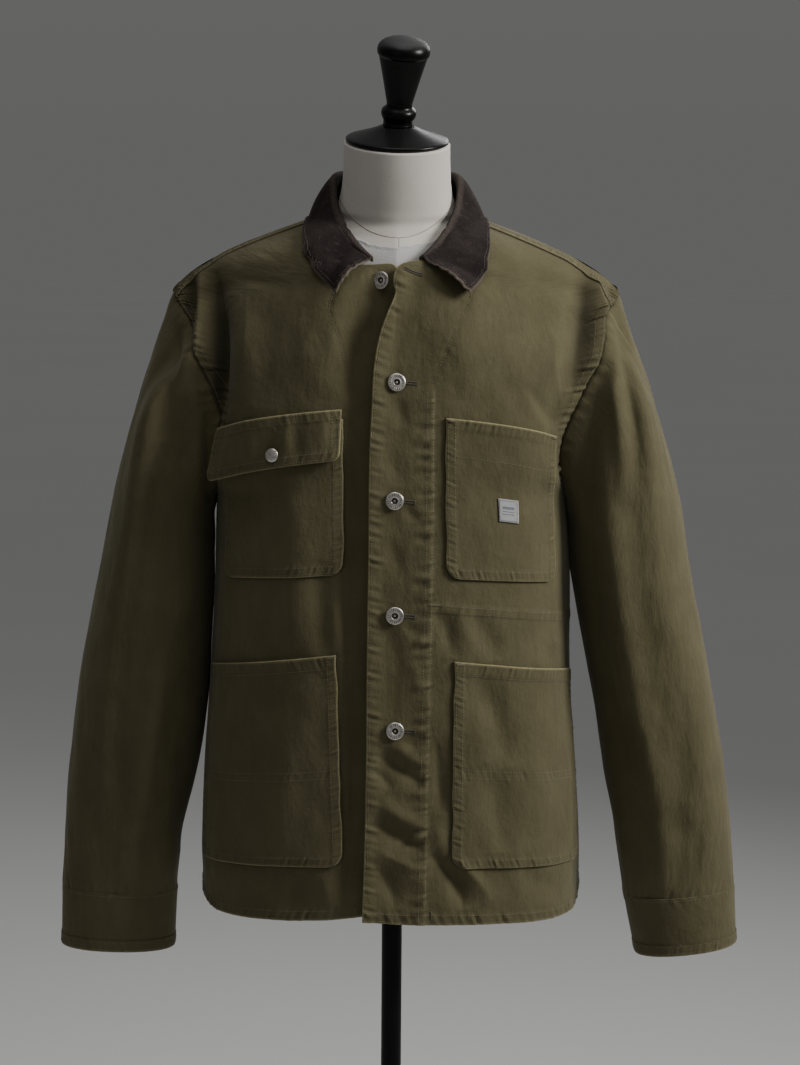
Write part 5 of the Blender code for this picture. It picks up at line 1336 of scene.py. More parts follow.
DUCK = duck_material((0.0785, 0.069, 0.0335), (0.1, 0.0895, 0.047), (0.0645, 0.0555, 0.0258))
PILE = pile_material()
THREAD = thread_material("olive_thread", (0.105, 0.092, 0.056), (0.15, 0.133, 0.086))
BROWN_THREAD = thread_material("brown_thread", (0.06, 0.046, 0.038), (0.1, 0.08, 0.066))
LABEL_THREAD = thread_material("label_thread", (0.3, 0.295, 0.285), (0.38, 0.375, 0.36))
HOLE_THREAD = thread_material("hole_thread", (0.04, 0.035, 0.02), (0.06, 0.052, 0.031))
SLIT_SHADOW = thread_material("slit_shadow", (0.012, 0.01, 0.006), (0.016, 0.013, 0.008))
FORM_CLOTH = form_material("form_cloth", (0.5, 0.475, 0.435), (0.45, 0.425, 0.385), 900.0, 0.12)
FORM_FUZZ = form_material("form_jersey", (0.43, 0.42, 0.41), (0.35, 0.34, 0.33), 520.0, 0.55)
FORM_SEAM = thread_material("form_seam", (0.27, 0.235, 0.185), (0.35, 0.31, 0.25))
LACQUER = lacquer_material()
ENAMEL = enamel_material()
BUTTON = button_material()
LABEL_CLOTH = label_material()


# ---- meshes
def add_mesh(name, points, faces, materials, node, wear_and_shade=None, flat=None, second=None):
    """A piece on the root body; from the face numbered second on it has the second material."""
    mesh = bpy.data.meshes.new(name)
    mesh.from_pydata(points.reshape(-1, 3).tolist(), [], faces)
    if wear_and_shade is not None:
        worn = mesh.attributes.new("wear_and_shade", "FLOAT", "POINT")
        worn.data.foreach_set("value", wear_and_shade.ravel().astype(np.float32))
    if flat is not None:
        corners = np.empty(len(mesh.loops), np.int32)
        mesh.loops.foreach_get("vertex_index", corners)
        layer = mesh.uv_layers.new(name="cloth")
        layer.data.foreach_set("uv", flat.reshape(-1, 2)[corners].astype(np.float32).ravel())
    mesh.validate()
    for material in materials:
        mesh.materials.append(material)
    if second:
        slots = (np.arange(len(mesh.polygons)) >= second).astype(np.int32)
        mesh.polygons.foreach_set("material_index", slots)
    mesh.shade_smooth()
    item = bpy.data.objects.new(name, mesh)
    bpy.context.scene.collection.objects.link(item)
    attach(item, "root")
    if node:
        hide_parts(node)
    return item


def add_cloth(name, parts, node=None, material=None, wrap=False):
    """One piece from one or more sheets."""
    faces = []
    count = 0
    for sheet in parts:
        rows, columns = sheet.points.shape[:2]
        faces += grid_quads(rows, columns, wrap, count, sheet.flip)
        count += rows * columns
    points, wear_and_shade, flat = (np.concatenate([getattr(sheet, key).reshape(-1, size) for sheet in parts])
                          for key, size in (("points", 3), ("wear_and_shade", 1), ("flat", 2)))
    return add_mesh(name, points, faces, [material or DUCK], node, wear_and_shade, flat)


# ---- stitches
class Stitches:
    """Collects stitches and makes one mesh of them."""

    def __init__(self):
        self.parts = []

    def put(self, middle, along, normal, length, width=THREAD_WIDTH, height=THREAD_HEIGHT):
        """Adds stitches from arrays of middles, directions and normals."""
        along = unit(along)
        side = unit(np.cross(normal, along))
        normal = np.cross(along, side)
        length = np.broadcast_to(length, len(middle))[:, None]
        rings = []
        for t, size, rise in THREAD_RINGS:
            for k in range(THREAD_SIDES):
                angle = 2 * math.pi * (k + 0.5) / THREAD_SIDES
                rings.append(middle + along * (t * length) + side * (width * size * math.cos(angle))
                             + normal * (height * (rise + size * math.sin(angle))))
        self.parts.append(np.stack(rings, axis=1))

    def line(self, sheet, path, seed, pitch=STITCH_PITCH, lift=0.0):
        """Stitches along points (u, v) of a sheet."""
        path = np.array(path, float)
        run = run_of(path)
        fine = np.linspace(0, run[-1], max(8, int(run[-1] / 0.001)))
        u, v = along_run(path, run, fine).T
        self.follow(*sheet.at(v, u), seed, pitch, lift)

    def follow(self, points, normals, seed, pitch=STITCH_PITCH, lift=0.0):
        """Stitches along a run of points."""
        rng = np.random.default_rng(1000 + seed)
        run = run_of(points)
        count = int(run[-1] / pitch)
        if count < 1:
            return
        middle = (np.arange(count) + 0.5) * run[-1] / count + rng.normal(0, 0.0001, count)
        half = 0.5 * STITCH_LENGTH * pitch / STITCH_PITCH
        way = along_run(points, run, middle + half) - along_run(points, run, middle - half)
        normal = unit(along_run(normals, run, middle))
        size = np.linalg.norm(way, axis=1) * rng.uniform(0.9, 1.05, count)
        self.put(along_run(points, run, middle) + normal * lift, way, normal, size)

    def across(self, sheet, u, v, length, width, height, lift):
        """Close stitches across a short line of points (u, v)."""
        points, normals = sheet.at(v, u)
        way = np.cross(normals, unit(np.gradient(points, axis=0)))
        self.put(points + normals * lift, way, normals, length, THREAD_WIDTH * width, THREAD_HEIGHT * height)

    def bar(self, sheet, u, v, du, dv, length, count):
        """A bartack along (du, dv)."""
        t = np.linspace(-0.5, 0.5, count)
        self.across(sheet, u + du * t, v + dv * t, length, 0.9, 1.1, 0.0002)

    def make(self, name, material=None):
        points = np.concatenate(self.parts)
        one = np.array(grid_quads(len(THREAD_RINGS), THREAD_SIDES, True))
        faces = one + points.shape[1] * np.arange(len(points))[:, None, None]
        add_mesh(name, points, faces.reshape(-1, 4).tolist(), [material or THREAD], None)


# ---- build the cloth
sheets = {}
for name, piece in PIECES.items():
    sheets[name] = panel_grid(name, PANEL_STEP if piece["panel"] is FRONT else BACK_STEP)
for name, *options in (("chest_pocket_left", 201, 0.0095),
                       ("chest_pocket_right", 211, 0.0095),
                       ("lower_pocket_left", 221, 0.0125, 0.879),
                       ("lower_pocket_right", 231, 0.0125, 0.8765)):
    sheets[name] = pocket_grid(name, *options)
sheets["pocket_flap"] = flap_grid()
sheets["label"] = label_grid()
BODY_TREE = body_tree()
for side, word in SIDES.items():
    sheets["sleeve_" + word] = sleeve_grid(side)
    sheets["cuff_" + word] = cuff_grid(side)

for name in ("front_left", "front_right"):
    add_cloth(name + "_cloth", [sheets[name], felled_grid(name)], name)
add_cloth("back_cloth", [sheets["back_left"], sheets["back_right"]], "back")
for name in (*POCKETS, "pocket_flap"):
    add_cloth(name + "_cloth", [sheets[name]], name)
add_cloth("label_woven", [sheets["label"]], "label", LABEL_CLOTH)
for name in ("sleeve_left", "cuff_left", "sleeve_right", "cuff_right"):
    add_cloth(name + "_cloth", [sheets[name]], name, wrap=True)


# ---- collar
def collar_paths(stations):
    """The middle of the collar's wall, up the stand, over the roll and down the fall.

    Also the number of the fall's first point."""
    at = np.abs(stations)
    side = np.where(stations < 0, RIGHT, LEFT)
    mirror = np.stack((side, np.ones(len(at)), np.ones(len(at))), axis=1)
    neck, roll, edge = (read(COLLAR, names, at) * mirror for names in ("nx ny nz", "rx ry rz", "ex ey ez"))
    edge[:, 0] += COLLAR_TWIST * ease(at, 0.6, 1.0)
    up = unit(roll - neck)
    out = edge - roll
    out = unit(out - up * np.sum(out * up, axis=1, keepdims=True))
    path = [neck + (roll - neck) * share for share in np.linspace(0, 1, 10)]
    turn = (COLLAR_ROLL * (1 - 0.55 * ease(at, 0.8, 1.0)))[:, None]
    for angle in np.radians(np.linspace(0, 180, 13))[1:-1]:
        path.append(roll + turn * ((1 - math.cos(angle)) * out + math.sin(angle) * up))
    over = roll + 2 * turn * out
    fall = len(path)
    # Each leaf's front edge is hollowed, and curls away from the body.
    hollow, lift = (np.where(side == RIGHT, leaf[RIGHT], leaf[LEFT]) for leaf in (COLLAR_HOLLOW, COLLAR_LIFT))
    back = unit(np.array((0.62, 0.35, 0.7)) * mirror) * (hollow * ease(at, 0.86, 1.0))[:, None]
    curl = np.array((0.0, -0.94, 0.34)) * (lift * ease(at, 0.8, 1.0) ** 1.5)[:, None]
    for share in np.linspace(0, 1, 34):
        bow = math.sin(math.pi * share)
        path.append(over + (edge - over) * share + out * COLLAR_BOW * bow + back * bow
                    + curl * (bow + 0.55 * share) * 0.8)
    return np.stack(path, axis=1), fall


def collar():
    ends = np.array((0.0, 0.0012, 0.0035, 0.007))
    stations = np.concatenate((-1 + ends, np.linspace(-0.985, 0.985, 190), (1 - ends)[::-1]))
    path, fall = collar_paths(stations)
    along = np.gradient(path, axis=0)
    thick = -grid_normals(path)
    run = run_of(path.swapaxes(0, 1)).T
    length = run_of(path[:, fall])[:, None] + 0 * run
    left = run[:, -1:] - run
    from_end = np.minimum(length, length[-1] - length)
    rim = np.minimum(left, from_end)
    # Relief of the fall: creases, a sewn edge and its ripples.
    on_fall = ease(run, run[:, fall:fall + 1], run[:, fall:fall + 1] + 0.006)
    waves = (0.00035 * ripple(length, 0.0085, 301) * bell(left - 0.0035, 0.004)
             + 0.00035 * ripple(run, 0.0085, 303) * bell(from_end - 0.0035, 0.004)
             + 0.0006 * ripple(length + 0.6 * run, 0.047, 305) * ease(left, 0.0, 0.02))
    creases = crease_relief(COLLAR_CREASES, path[..., 0], path[..., 2])
    relief = creases * (path[..., 1] < 0.03) + on_fall * waves
    half = COLLAR_WALL / 2
    taper = np.sqrt(np.clip(1 - (1 - rim / 0.0014).clip(0, 1) ** 2, 0.02, 1))
    fray = 0.0009 * ripple(run, 0.0095, 307) * on_fall * bell(from_end, 0.005)
    path = path + unit(along) * fray[..., None]
    outer = path + thick * (half * taper + relief)[..., None]
    inner = path - thick * (half * taper)[..., None]
    low = keep_off(inner[:, fall:], BODY_TREE, False, COLLAR_CLEAR)
    outer[:, fall:] += low - inner[:, fall:]
    inner[:, fall:] = low
    rows, columns = outer.shape[:2]
    count = rows * columns
    faces = grid_quads(rows, columns)
    first_under = len(faces)
    faces += [[v + count for v in face[::-1]] for face in faces]
    number = np.arange(count).reshape(rows, columns)
    borders = ((number[:, 0], False), (number[:, -1], True), (number[0], True), (number[-1], False))
    for border, flip in borders:
        for a, b in zip(border, border[1:]):
            quad = [int(v) for v in (a, b, b + count, a + count)]
            faces.append(quad[::-1] if flip else quad)
    # Worn edges and roll; the last term gives the crests of creases and ripples a little painted light.
    wear_and_shade = (1.1 * bell(rim, 0.0017) * on_fall + 0.35 * bell(run - run[:, fall - 5:fall - 4], 0.004)
            + np.clip(relief / 0.0008, -1, 1) * 0.12 * on_fall)
    flat = np.stack((length, run), axis=-1).reshape(-1, 2)
    item = add_mesh("collar_cloth", np.concatenate((outer, inner)), faces, [PILE, DUCK], "collar",
                    np.concatenate((wear_and_shade, 0 * wear_and_shade)), np.concatenate((flat, flat)),
                    first_under)
    # A row of stitches just inside the edge.
    seams = Stitches()
    normals = -grid_normals(outer)
    pick = np.arange(rows)
    inset = np.argmin(np.abs(left - 0.0048), axis=1)
    inside = from_end[:, 0] > 0.0045
    seams.follow(outer[pick, inset][inside], normals[pick, inset][inside], 310)
    for end in (0.0046, length[-1, 0] - 0.0046):
        row = int(np.argmin(np.abs(length[:, 0] - end)))
        keep = (np.arange(columns) >= fall + 4) & (left[row] > 0.0046)
        seams.follow(outer[row, keep], normals[row, keep], 311 + row)
    seams.make("collar_stitches", BROWN_THREAD)
    return item


collar()


# ---- seams: lines of points (u, v) on each sheet
def sew_panel(name):
    seams = Stitches()
    sheet = sheets[name]
    panel, side, edge, seed = (PIECES[name][key] for key in ("panel", "side", "edge", "seed"))

    def end_line(low, high, offset):
        rows = np.linspace(low, high, 60)
        return np.stack((section_length(panel, rows) - offset, rows), axis=1)

    for k, (arm, below) in enumerate(((0.0024, 0.0022), (0.0086, 0.008))):
        seams.line(sheet, end_line(UNDERARM_ROW + 0.004, panel["row"][-1] - 0.004, arm), seed + k)
        seams.line(sheet, end_line(HEM + 0.002, UNDERARM_ROW, below), seed + 2 + k)
    start = 0.002 - read(edge, "x", HEM) if edge else 0.0
    end = section_length(panel, np.array([HEM]))[0] - 0.001
    for k, height in enumerate((0.0022, 0.0098)):
        seams.line(sheet, ((start, HEM + height), (end, HEM + height)), seed + 4 + k)
    if panel is FRONT:
        for k, over in enumerate((0.0022, 0.0054)):
            seams.line(sheet, SHOULDER_LINES[side][:-1] + (0, over), seed + 6 + 10 * k, lift=0.0011)
        seams.line(sheet, FACING_LINES[side], seed + 7)
        rows = np.linspace(HEM + 0.001, 1.352, 60)
        seams.line(sheet, np.stack((0.0026 - read(edge, "x", rows), rows), axis=1), seed + 8)
    if name == "front_left":
        for k, offset in enumerate((0.0, 0.0062)):
            seams.line(sheet, PLACKET_LINE - (offset, 0), seed + 9 + k)
            seams.line(sheet, CROSS_LINE - (0, offset), seed + 11 + k)
        seams.line(sheet, NOTCH_LINE, seed + 13)
        seams.line(sheet, ((-0.0015, 1.36), (0.006, 1.3675), (0.02, 1.372)), seed + 14)
        seams.bar(sheet, 0.044, 1.0425, 0.01, 0.0, 0.0016, 14)
        seams.bar(sheet, 0.0395, 0.7345, 0.0, 0.009, 0.0018, 12)
    seams.make(name + "_stitches")


def sew_pocket(name, size, seed, insets, top_gap, level_lines, bars=True):
    """Stitches inside a pocket's or flap's edge, lines across it (row, inner and outer inset,
    number), and bartacks at its mouth."""
    seams = Stitches()
    sheet = sheets[name]
    inner, outer, top = size["inner_top"], size["outer"], size["top"]
    for k, inset in enumerate(insets):
        seams.line(sheet, pocket_outline(size, inset, top - top_gap), seed + k)
    for row, low, high, number in level_lines:
        seams.line(sheet, ((inner + low, row), (outer - high, row)), seed + number)
    if bars:
        for u in (inner + 0.0056, outer - 0.0056):
            seams.bar(sheet, u, top - 0.0026, 0.007, 0.0, 0.002, 10)
    seams.make(name + "_stitches")


def sew_label():
    seams = Stitches()
    low = np.array((LABEL["inner"], LABEL["foot"])) + LABEL_INSET
    high = np.array((LABEL["outer"], LABEL["top"])) - LABEL_INSET
    corners = (low, (high[0], low[1]), high, (low[0], high[1]), low)
    for k in range(4):
        seams.line(sheets["label"], corners[k:k + 2], 491 + k, pitch=0.0022)
    seams.make("label_stitches", LABEL_THREAD)


def sew_sleeve(side, word):
    """Rows round the cuff, and the felled seam down the back of the arm."""
    seams = Stitches()
    cuff, sleeve = sheets["cuff_" + word], sheets["sleeve_" + word]
    foot = SLEEVES[side]["z"][0]
    share = np.linspace(0.0, 1.9999 - 2 / SLEEVE_SIDES, 400)
    for k, z in enumerate((CUFF_TOP - 0.002, foot + 0.0024, foot + 0.0095)):
        seams.follow(*cuff.at(np.full(len(share), z), share), 501 + k + 10 * side)
    rows = np.linspace(6, len(sleeve.v) - 3, 500)
    for k, turn in enumerate(ARM_SEAM):
        seams.follow(*sleeve.at(rows, np.full(len(rows), turn)), 531 + k + 10 * side)
    seams.make("sleeve_" + word + "_stitches")


for name in PIECES:
    sew_panel(name)
for name, seed, downs, rows in (("chest_pocket_left", 401, (0.0024, 0.0345), ()),
                                ("chest_pocket_right", 421, (0.0024,), ()),
                                ("lower_pocket_left", 441, (0.0024, 0.013), (0.8825, 0.875)),
                                ("lower_pocket_right", 461, (0.0024, 0.013), (0.88, 0.8725))):
    size = POCKETS[name]
    level_lines = [(size["top"] - down, 0.002, 0.002, 4 + k) for k, down in enumerate(downs)]
    level_lines += [(row, 0.009, 0.003, 8 + k) for k, row in enumerate(rows)]
    sew_pocket(name, size, seed, POCKET_ROWS, 0.0015, level_lines)
sew_pocket("pocket_flap", FLAP, 481, FLAP_ROWS, 0.002,
           [(FLAP["top"] - inset, 0.002, 0.002, 4 + k) for k, inset in enumerate(FLAP_ROWS)], False)
sew_label()
for side, word in SIDES.items():
    sew_sleeve(side, word)


# ---- turned pieces
def turned(name, node, profile, sides, material, placing, tick=None, lean=None):
    """A solid turned about its own Z, then placed; tick lowers the face by angle and radius.

    Lean gives two heights, between which the axis turns over forwards and to the side."""
    angle = np.arange(sides) * 2 * math.pi / sides
    radius = profile[:, :1] + 0 * angle
    height = profile[:, 1:] + 0 * angle
    wear_and_shade = np.zeros(radius.shape)
    if tick:
        change, wear_and_shade = tick(radius, angle, height)
        height = height + change
    x, y, z = radius * np.cos(angle), radius * np.sin(angle), height
    if lean:
        low, high, tilt, side = lean
        tilt, side = tilt * ease(height, low, high), side * ease(height, low, high)
        z = z - low
        y, z = y * np.cos(tilt) - z * np.sin(tilt), y * np.sin(tilt) + z * np.cos(tilt)
        x, z = x * np.cos(side) + z * np.sin(side), z * np.cos(side) - x * np.sin(side) + low
    moved = np.stack((x, y, z), axis=-1) @ np.array(placing.to_3x3()).T + np.array(placing.translation)
    add_mesh(name, moved, grid_quads(len(profile), sides, True), [material], node, wear_and_shade)


def fine_profile(points, step):
    """The profile with points added along its legs."""
    fine = [points[0]]
    for a, b in zip(points, points[1:]):
        count = max(1, int(np.hypot(*(b - a)) / step))
        fine += [a + (b - a) * k / count for k in range(1, count + 1)]
    return np.array(fine)


def even_curve(points, count):
    """A smooth curve through the points, in even steps."""
    run = run_of(points)
    return smooth(run, points, np.linspace(0, run[-1], count))


BUTTON_FACE = points_of((0.0, 0.0003), (0.005, 0.0003), (0.0066, 0.0005), (0.008, 0.001), (0.0086, 0.0017),
                        (0.0087, 0.0022), (0.0084, 0.0028), (0.0077, 0.0032), (0.0069, 0.00335),
                        (0.006, 0.0033), (0.005, 0.0031), (0.0043, 0.003), (0.0039, 0.0031),
                        (0.0035, 0.0033), (0.0032, 0.0032), (0.0029, 0.0024), (0.0026, 0.0015),
                        (0.0022, 0.0012), (0.0017, 0.0012), (0.0014, 0.0016), (0.001, 0.0021),
                        (0.0005, 0.0023), (0.0, 0.0023))
STUD_FACE = points_of((0.0, 0.0003), (0.0048, 0.0003), (0.0062, 0.0007), (0.0068, 0.0014),
                      (0.0067, 0.0019), (0.006, 0.0025), (0.0046, 0.003), (0.0028, 0.0033), (0.0, 0.0034))


def button_tick(radius, angle, height):
    """Fine radial pressing round the face, and dirt in the recesses."""
    face = (height > 0.0024) & (radius > 0.0044) & (radius < 0.0076)
    cut = face * ease(np.cos(20 * angle), 0.0, 0.8) * hump((radius - 0.0044) / 0.0032) ** 0.6
    well = bell(radius - 0.0021, 0.0009)
    wear_and_shade = -1.1 * cut - 1.3 * well - 0.8 * ease(0.0018 - height, 0.0, 0.001) * (radius > 0.006)
    return -0.0003 * cut, wear_and_shade


def stud_tick(radius, angle, height):
    """Shallow wavy pressing on the snap's face."""
    wave = np.sin(900 * radius * np.cos(angle) + 2.0) * np.sin(820 * radius * np.sin(angle) + 0.6)
    inside = (height > 0.0018) * np.exp(-(radius / 0.0052) ** 4)
    wear_and_shade = -0.45 * inside * np.clip(wave, 0, 1) - 0.5 * ease(0.0012 - height, 0, 0.001)
    return 0.0001 * wave * inside, wear_and_shade


def placing_at(sheet, u, v, lift, tilt, spin=0.0):
    """A placing whose Z leaves the cloth at (u, v), tilted by two angles about X and Z."""
    point, normal = sheet.at([v], [u])
    turn = Vector((0, 0, 1)).rotation_difference(Vector(normal[0])).to_matrix()
    lean = Matrix.Rotation(tilt[1], 3, "Z") @ Matrix.Rotation(tilt[0], 3, "X")
    turn = lean @ turn @ Matrix.Rotation(spin, 3, "Z")
    return Matrix.Translation(Vector(point[0] + normal[0] * lift)) @ turn.to_4x4()


face = even_curve(BUTTON_FACE, 46)
for number, (u, v) in enumerate(BUTTONS):
    name = "button_%d" % (number + 1)
    placing = placing_at(sheets["front_left" if number else "front_right"], u, v, 0.0004,
                         BUTTON_TILTS[number], 0.7 * number)
    turned(name + "_metal", name, face, 88, BUTTON, placing, button_tick)
placing = placing_at(sheets["pocket_flap"], *STUD, 0.0002, (0.03, -0.05))
turned("flap_stud_metal", "flap_stud", even_curve(STUD_FACE, 26), 60, BUTTON, placing,
       stud_tick)


# ---- buttonholes: worked edges round a slit
def buttonholes():
    seams = Stitches()
    slits = []
    host = sheets["front_left"]
    places = [(u + 0.001, v + 0.0002, BUTTONHOLE, 0.0) for u, v in BUTTONS[1:]]
    places.append(NECK_BUTTONHOLE)
    t = np.linspace(0, 1, 40)
    end = np.linspace(-0.0018, 0.0018, 9)
    for u, v, length, turn in places:
        uu, vv = u + length * t, v + turn * length * t
        for sign in (1, -1):
            seams.across(host, uu, vv + sign * 0.00105, 0.0019, 0.85, 1.25, 0.0002)
        seams.across(host, u + length + 0.0004 + 0 * end, v + turn * length + end, 0.0022, 0.85, 1.3, 0.00025)
        points, normals = host.at(vv, uu)
        half_width = SLIT_HALF * (1 + bell(t, 0.16))[:, None]
        half = np.cross(normals, unit(np.gradient(points, axis=0))) * half_width
        slits.append(np.stack((points + half, points - half), axis=1) + normals[:, None] * 0.00018)
    seams.make("buttonhole_stitches", HOLE_THREAD)
    faces = [quad for k in range(len(slits)) for quad in grid_quads(len(t), 2, False, k * 2 * len(t))]
    add_mesh("buttonhole_slits", np.array(slits), faces, [SLIT_SHADOW], None)


buttonholes()


# ---- dress form
FORM_SIDES = 96
HIDDEN_TOP, NECK_FOOT = 1.33, 1.334    # its rings stand closer together above these
JERSEY_TOP = 1.3792
NECK_SEAM = points_of((-0.0585, 1.4285), (-0.048, 1.411), (-0.03, 1.396), (-0.012, 1.3895), (0.002, 1.388),
                      (0.018, 1.3905), (0.035, 1.399), (0.05, 1.413), (0.059, 1.427))


def form_rings(heights):
    angle = np.arange(FORM_SIDES) * 2 * math.pi / FORM_SIDES
    rings = []
    for z, values in zip(heights, read(FORM, "y wide front back round tilt", heights)):
        y, wide, front, back, roundness, tilt = values
        x = wide * rounded(np.cos(angle), roundness)
        side = np.where(np.sin(angle) < 0, front, back) * rounded(np.sin(angle), roundness)
        slope = math.tan(math.radians(tilt))
        lean = math.tan(CAP_LEAN) * slope / math.tan(CAP_TILT)
        rings.append(np.stack((x, y + side, z + side * slope - x * lean), axis=1))
    return np.array(rings)


def form_body():
    """The form's closed skin, kept inside the jacket where it is hidden."""
    heights = np.concatenate((np.linspace(FORM_FOOT, HIDDEN_TOP, 46),
                              np.linspace(NECK_FOOT, FORM["z"][-1], 74)))
    rings = form_rings(heights)
    hidden = heights < FORM_BARE - 0.001
    rings[hidden] = keep_off(rings[hidden], body_tree(WALL), True, FORM_CLEAR, False)
    rings[0, :, 2] = FORM_FOOT
    points = np.concatenate((rings[0].mean(axis=0)[None], rings.reshape(-1, 3), rings[-1].mean(axis=0)[None]))
    faces = grid_quads(len(rings), FORM_SIDES, True, 1)
    last = len(points) - 1
    for k in range(FORM_SIDES):
        following = (k + 1) % FORM_SIDES
        faces += [(0, 1 + following, 1 + k), (last, last - FORM_SIDES + k, last - FORM_SIDES + following)]
    add_mesh("form_body", points, faces, [FORM_CLOTH], "form_torso")
    return tree_of([rings], True)


form_tree = form_body()


def on_form(x, z):
    """The point and normal on the front of the form, or None beside it."""
    hit, normal, _, _ = form_tree.ray_cast(Vector((x, -1.0, z)), Vector((0, 1, 0)))
    return hit and (np.array(hit), np.array(normal if normal.y < 0 else -normal))


def form_seam(name, line, count, radius):
    """A fine raised line through points (x, z) on the front of the form."""
    found = filter(None, (on_form(x, z) for x, z in even_curve(line, count)))
    points, normals = (np.array(values) for values in zip(*found))
    side = np.cross(normals, unit(np.gradient(points, axis=0)))
    rings = [points + side * radius * math.cos(angle) + normals * radius * 0.7 * math.sin(angle)
             for angle in np.arange(6) * math.pi / 3]
    add_mesh(name, np.stack(rings, axis=1), grid_quads(len(points), 6, True), [FORM_SEAM], None)


def form_jersey():
    """The fuzzy knitted cover of the form's body, whose rough edge shows inside the neck."""
    x = np.linspace(-0.052, 0.052, 105)
    top = (JERSEY_TOP + 0.00065 * ripple(x, 0.014, 901) + 0.001 * ripple(x, 0.04, 903)
           + 0.01 * (x / 0.05) ** 2)
    drop = np.concatenate(((0.0006, 0.0, 0.0004, 0.0011, 0.002), np.linspace(0.0032, 0.03, 22)))
    out = np.concatenate(((-0.0006, 0.0004, 0.0013, 0.0016, 0.0014), np.full(22, 0.0009)))
    points = []
    for fall, lift in zip(drop, out):
        for a, z in zip(x, top - fall):
            hit, normal = on_form(a, z)
            fuzz = 0.00018 * math.sin(2100 * a + 900 * z) * (fall < 0.004)
            points.append(hit + normal * (lift + fuzz))
    add_mesh("form_jersey", np.array(points), grid_quads(len(drop), len(x), flip=True), [FORM_FUZZ], None)


form_seam("form_neck_seam", NECK_SEAM, 120, 0.00055)
form_seam("form_front_seam", points_of((0.0025, 1.388), (0.003, 1.36)), 30, 0.00045)
form_jersey()

# ---- cap, finial, pole and base: radius and height
CAP_PROFILE = points_of((0.0, 0.0004), (0.047, 0.0004), (0.0496, 0.0006), (0.0506, 0.0015),
                        (0.0508, 0.0026), (0.0504, 0.0038), (0.049, 0.0047), (0.04, 0.0076),
                        (0.033, 0.0099), (0.026, 0.0124), (0.021, 0.0145), (0.018, 0.016), (0.016, 0.0166),
                        (0.0, 0.0166))
FINIAL_PROFILE = points_of((0.0, 0.0168), (0.0147, 0.0168), (0.015, 0.0174), (0.0146, 0.0186),
                           (0.0143, 0.02), (0.0144, 0.0218), (0.0148, 0.0236), (0.0159, 0.025),
                           (0.0168, 0.027), (0.0172, 0.0288), (0.0173, 0.0304), (0.017, 0.0322),
                           (0.0162, 0.0338), (0.0149, 0.035), (0.0136, 0.036), (0.0127, 0.0374),
                           (0.0125, 0.0392), (0.0136, 0.044), (0.018, 0.063), (0.0222, 0.0802),
                           (0.024, 0.0872), (0.0243, 0.0879), (0.025, 0.0884), (0.0256, 0.0896),
                           (0.0259, 0.0914), (0.0259, 0.0932), (0.0255, 0.0954), (0.0245, 0.0977),
                           (0.0228, 0.0998), (0.02, 0.1018), (0.016, 0.1036), (0.011, 0.105),
                           (0.0055, 0.1059), (0.0, 0.1062))
POLE_PROFILE = np.array(((0.0, 0.0223), (POLE_RADIUS, 0.0223), (POLE_RADIUS, FORM_FOOT - 0.0003),
                         (0.0, FORM_FOOT - 0.0003)))
BASE_PROFILE = points_of((0.0, 0.0), (BASE_RADIUS - 0.0015, 0.0), (BASE_RADIUS, 0.0015),
                         (BASE_RADIUS, 0.0098), (BASE_RADIUS - 0.0012, 0.0124),
                         (BASE_RADIUS - 0.004, 0.0139), (0.11, 0.0166), (0.06, 0.019), (0.03, 0.0212),
                         (0.024, 0.0219), (0.0, 0.022))
seat = (Matrix.Translation(Vector(CAP_SEAT)) @ Matrix.Rotation(CAP_LEAN, 4, "Y")
        @ Matrix.Rotation(CAP_TILT, 4, "X"))
for name, node, profile, step, sides, material, slot, placing, lean in (
        ("neck_cap_wood", "neck_cap", CAP_PROFILE, 0.0018, 112, LACQUER, "lacquer", seat, None),
        ("finial_wood", "finial", FINIAL_PROFILE, 0.0018, 80, LACQUER, "lacquer", seat, FINIAL_LEAN),
        ("pole_metal", "pole", POLE_PROFILE, 0.02, 64, ENAMEL, "black_metal", Matrix(), None),
        ("base_metal", "base", BASE_PROFILE, 0.008, 112, ENAMEL, "black_metal", Matrix(), None)):
    turned(name, node, fine_profile(profile, step), sides, material, placing, lean=lean)

# ---- floor, light and camera
FLOOR_HALF = 30.0
mesh = bpy.data.meshes.new("floor")
mesh.from_pydata([(x * FLOOR_HALF, y * FLOOR_HALF, 0) for x, y in ((-1, -1), (1, -1), (1, 1), (-1, 1))],
                 [], [(0, 1, 2, 3)])
floor = bpy.data.objects.new("floor", mesh)
floor.data.materials.append(floor_material())
bpy.context.scene.collection.objects.link(floor)


def area_light(name, place, target, size, power, colour, spread=180.0):
    light = bpy.data.lights.new(name, "AREA")
    light.spread = math.radians(spread)
    light.shape = "RECTANGLE"
    light.size, light.size_y = size
    light.energy = power
    light.color = colour
    item = bpy.data.objects.new(name, light)
    item.location = place
    item.rotation_euler = (Vector(target) - Vector(place)).to_track_quat("-Z", "Y").to_euler()
    bpy.context.scene.collection.objects.link(item)


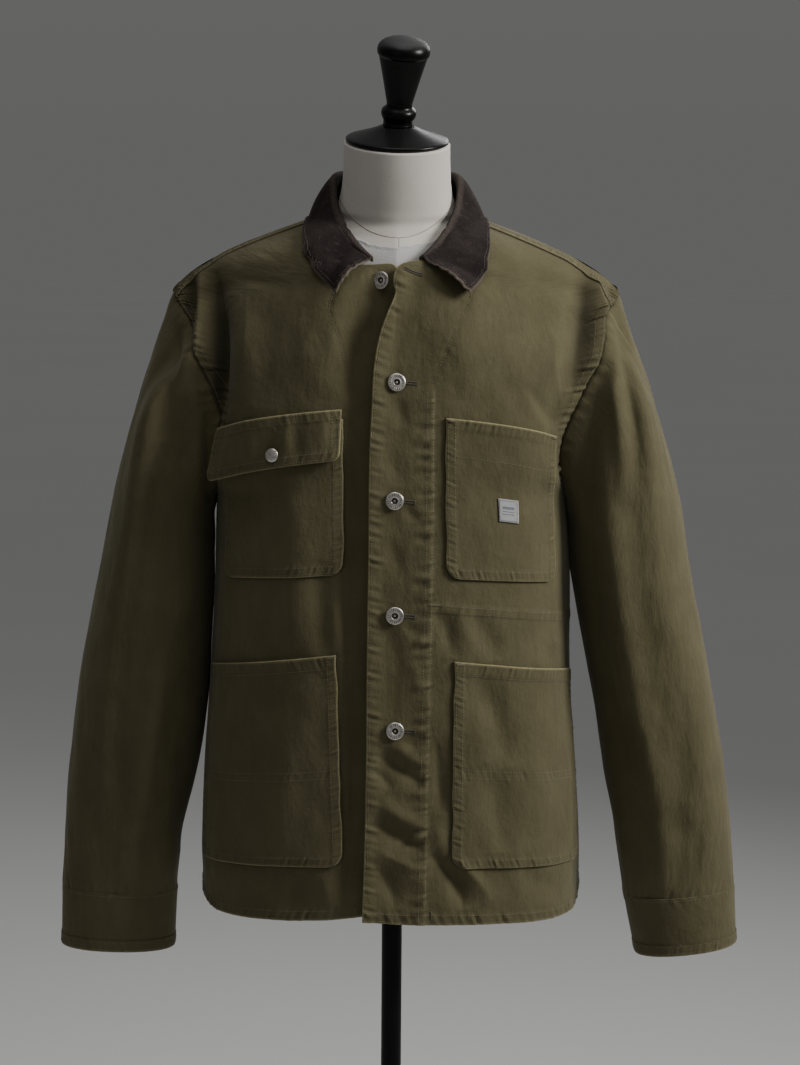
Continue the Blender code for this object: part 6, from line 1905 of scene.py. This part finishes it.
area_light("key", (2.8, -0.87, 2.8), (0.0, -0.05, 1.25), (1.1, 1.3), 38.5, (1.0, 0.985, 0.955), 90.0)
area_light("fill", (-1.5, -3.1, 2.0), (0.0, 0.0, 1.15), (2.0, 2.2), 3.0, (0.97, 0.985, 1.0))
area_light("top", (0.15, -0.6, 3.6), (0.0, -0.05, 1.2), (1.6, 1.4), 9.0, (1.0, 0.99, 0.97), 120.0)
area_light("back", (1.2, 2.6, 2.6), (0.0, 0.0, 1.2), (1.6, 1.2), 24.0, (1.0, 1.0, 1.0))

WORLD_HIGH = 0.205
WORLD_LOW = 0.612 * WORLD_HIGH


def studio_world():
    """Even pale light, which meets the floor at the horizon in the floor's own shade."""
    world = bpy.data.worlds.new("studio")
    world.use_nodes = True
    tree = world.node_tree
    place = tree.nodes.new("ShaderNodeTexCoord")
    parts = tree.nodes.new("ShaderNodeSeparateXYZ")
    ramp = tree.nodes.new("ShaderNodeMapRange")
    tree.links.new(place.outputs["Generated"], parts.inputs[0])
    tree.links.new(parts.outputs[2], ramp.inputs["Value"])
    for name, value in (("From Min", 0.0), ("From Max", 0.6), ("To Min", WORLD_LOW), ("To Max", WORLD_HIGH)):
        ramp.inputs[name].default_value = value
    background = tree.nodes["Background"]
    background.inputs["Color"].default_value = (1.0, 0.995, 0.985, 1.0)
    tree.links.new(ramp.outputs[0], background.inputs["Strength"])
    return world


bpy.context.scene.world = studio_world()

CAMERA_DISTANCE = 3.2
CAMERA_TARGET = (0.0055, 0.0, 1.0925)
CAMERA_DROP = math.radians(7.0)
CAMERA_ROLL = math.radians(0.4)
FRAME_HEIGHT = 1065
FOCAL_PIXELS = 3200
camera = bpy.data.cameras.new("camera")
camera.sensor_width = 36.0
camera.lens = 36.0 * FOCAL_PIXELS / FRAME_HEIGHT
camera.clip_end = 200.0
viewer = bpy.data.objects.new("camera", camera)
viewer.location = (CAMERA_TARGET[0], -CAMERA_DISTANCE * math.cos(CAMERA_DROP),
                   CAMERA_TARGET[2] + CAMERA_DISTANCE * math.sin(CAMERA_DROP))
turn = Matrix.Rotation(math.pi / 2 - CAMERA_DROP, 4, "X") @ Matrix.Rotation(CAMERA_ROLL, 4, "Z")
viewer.rotation_euler = turn.to_euler()
bpy.context.scene.collection.objects.link(viewer)
bpy.context.scene.camera = viewer
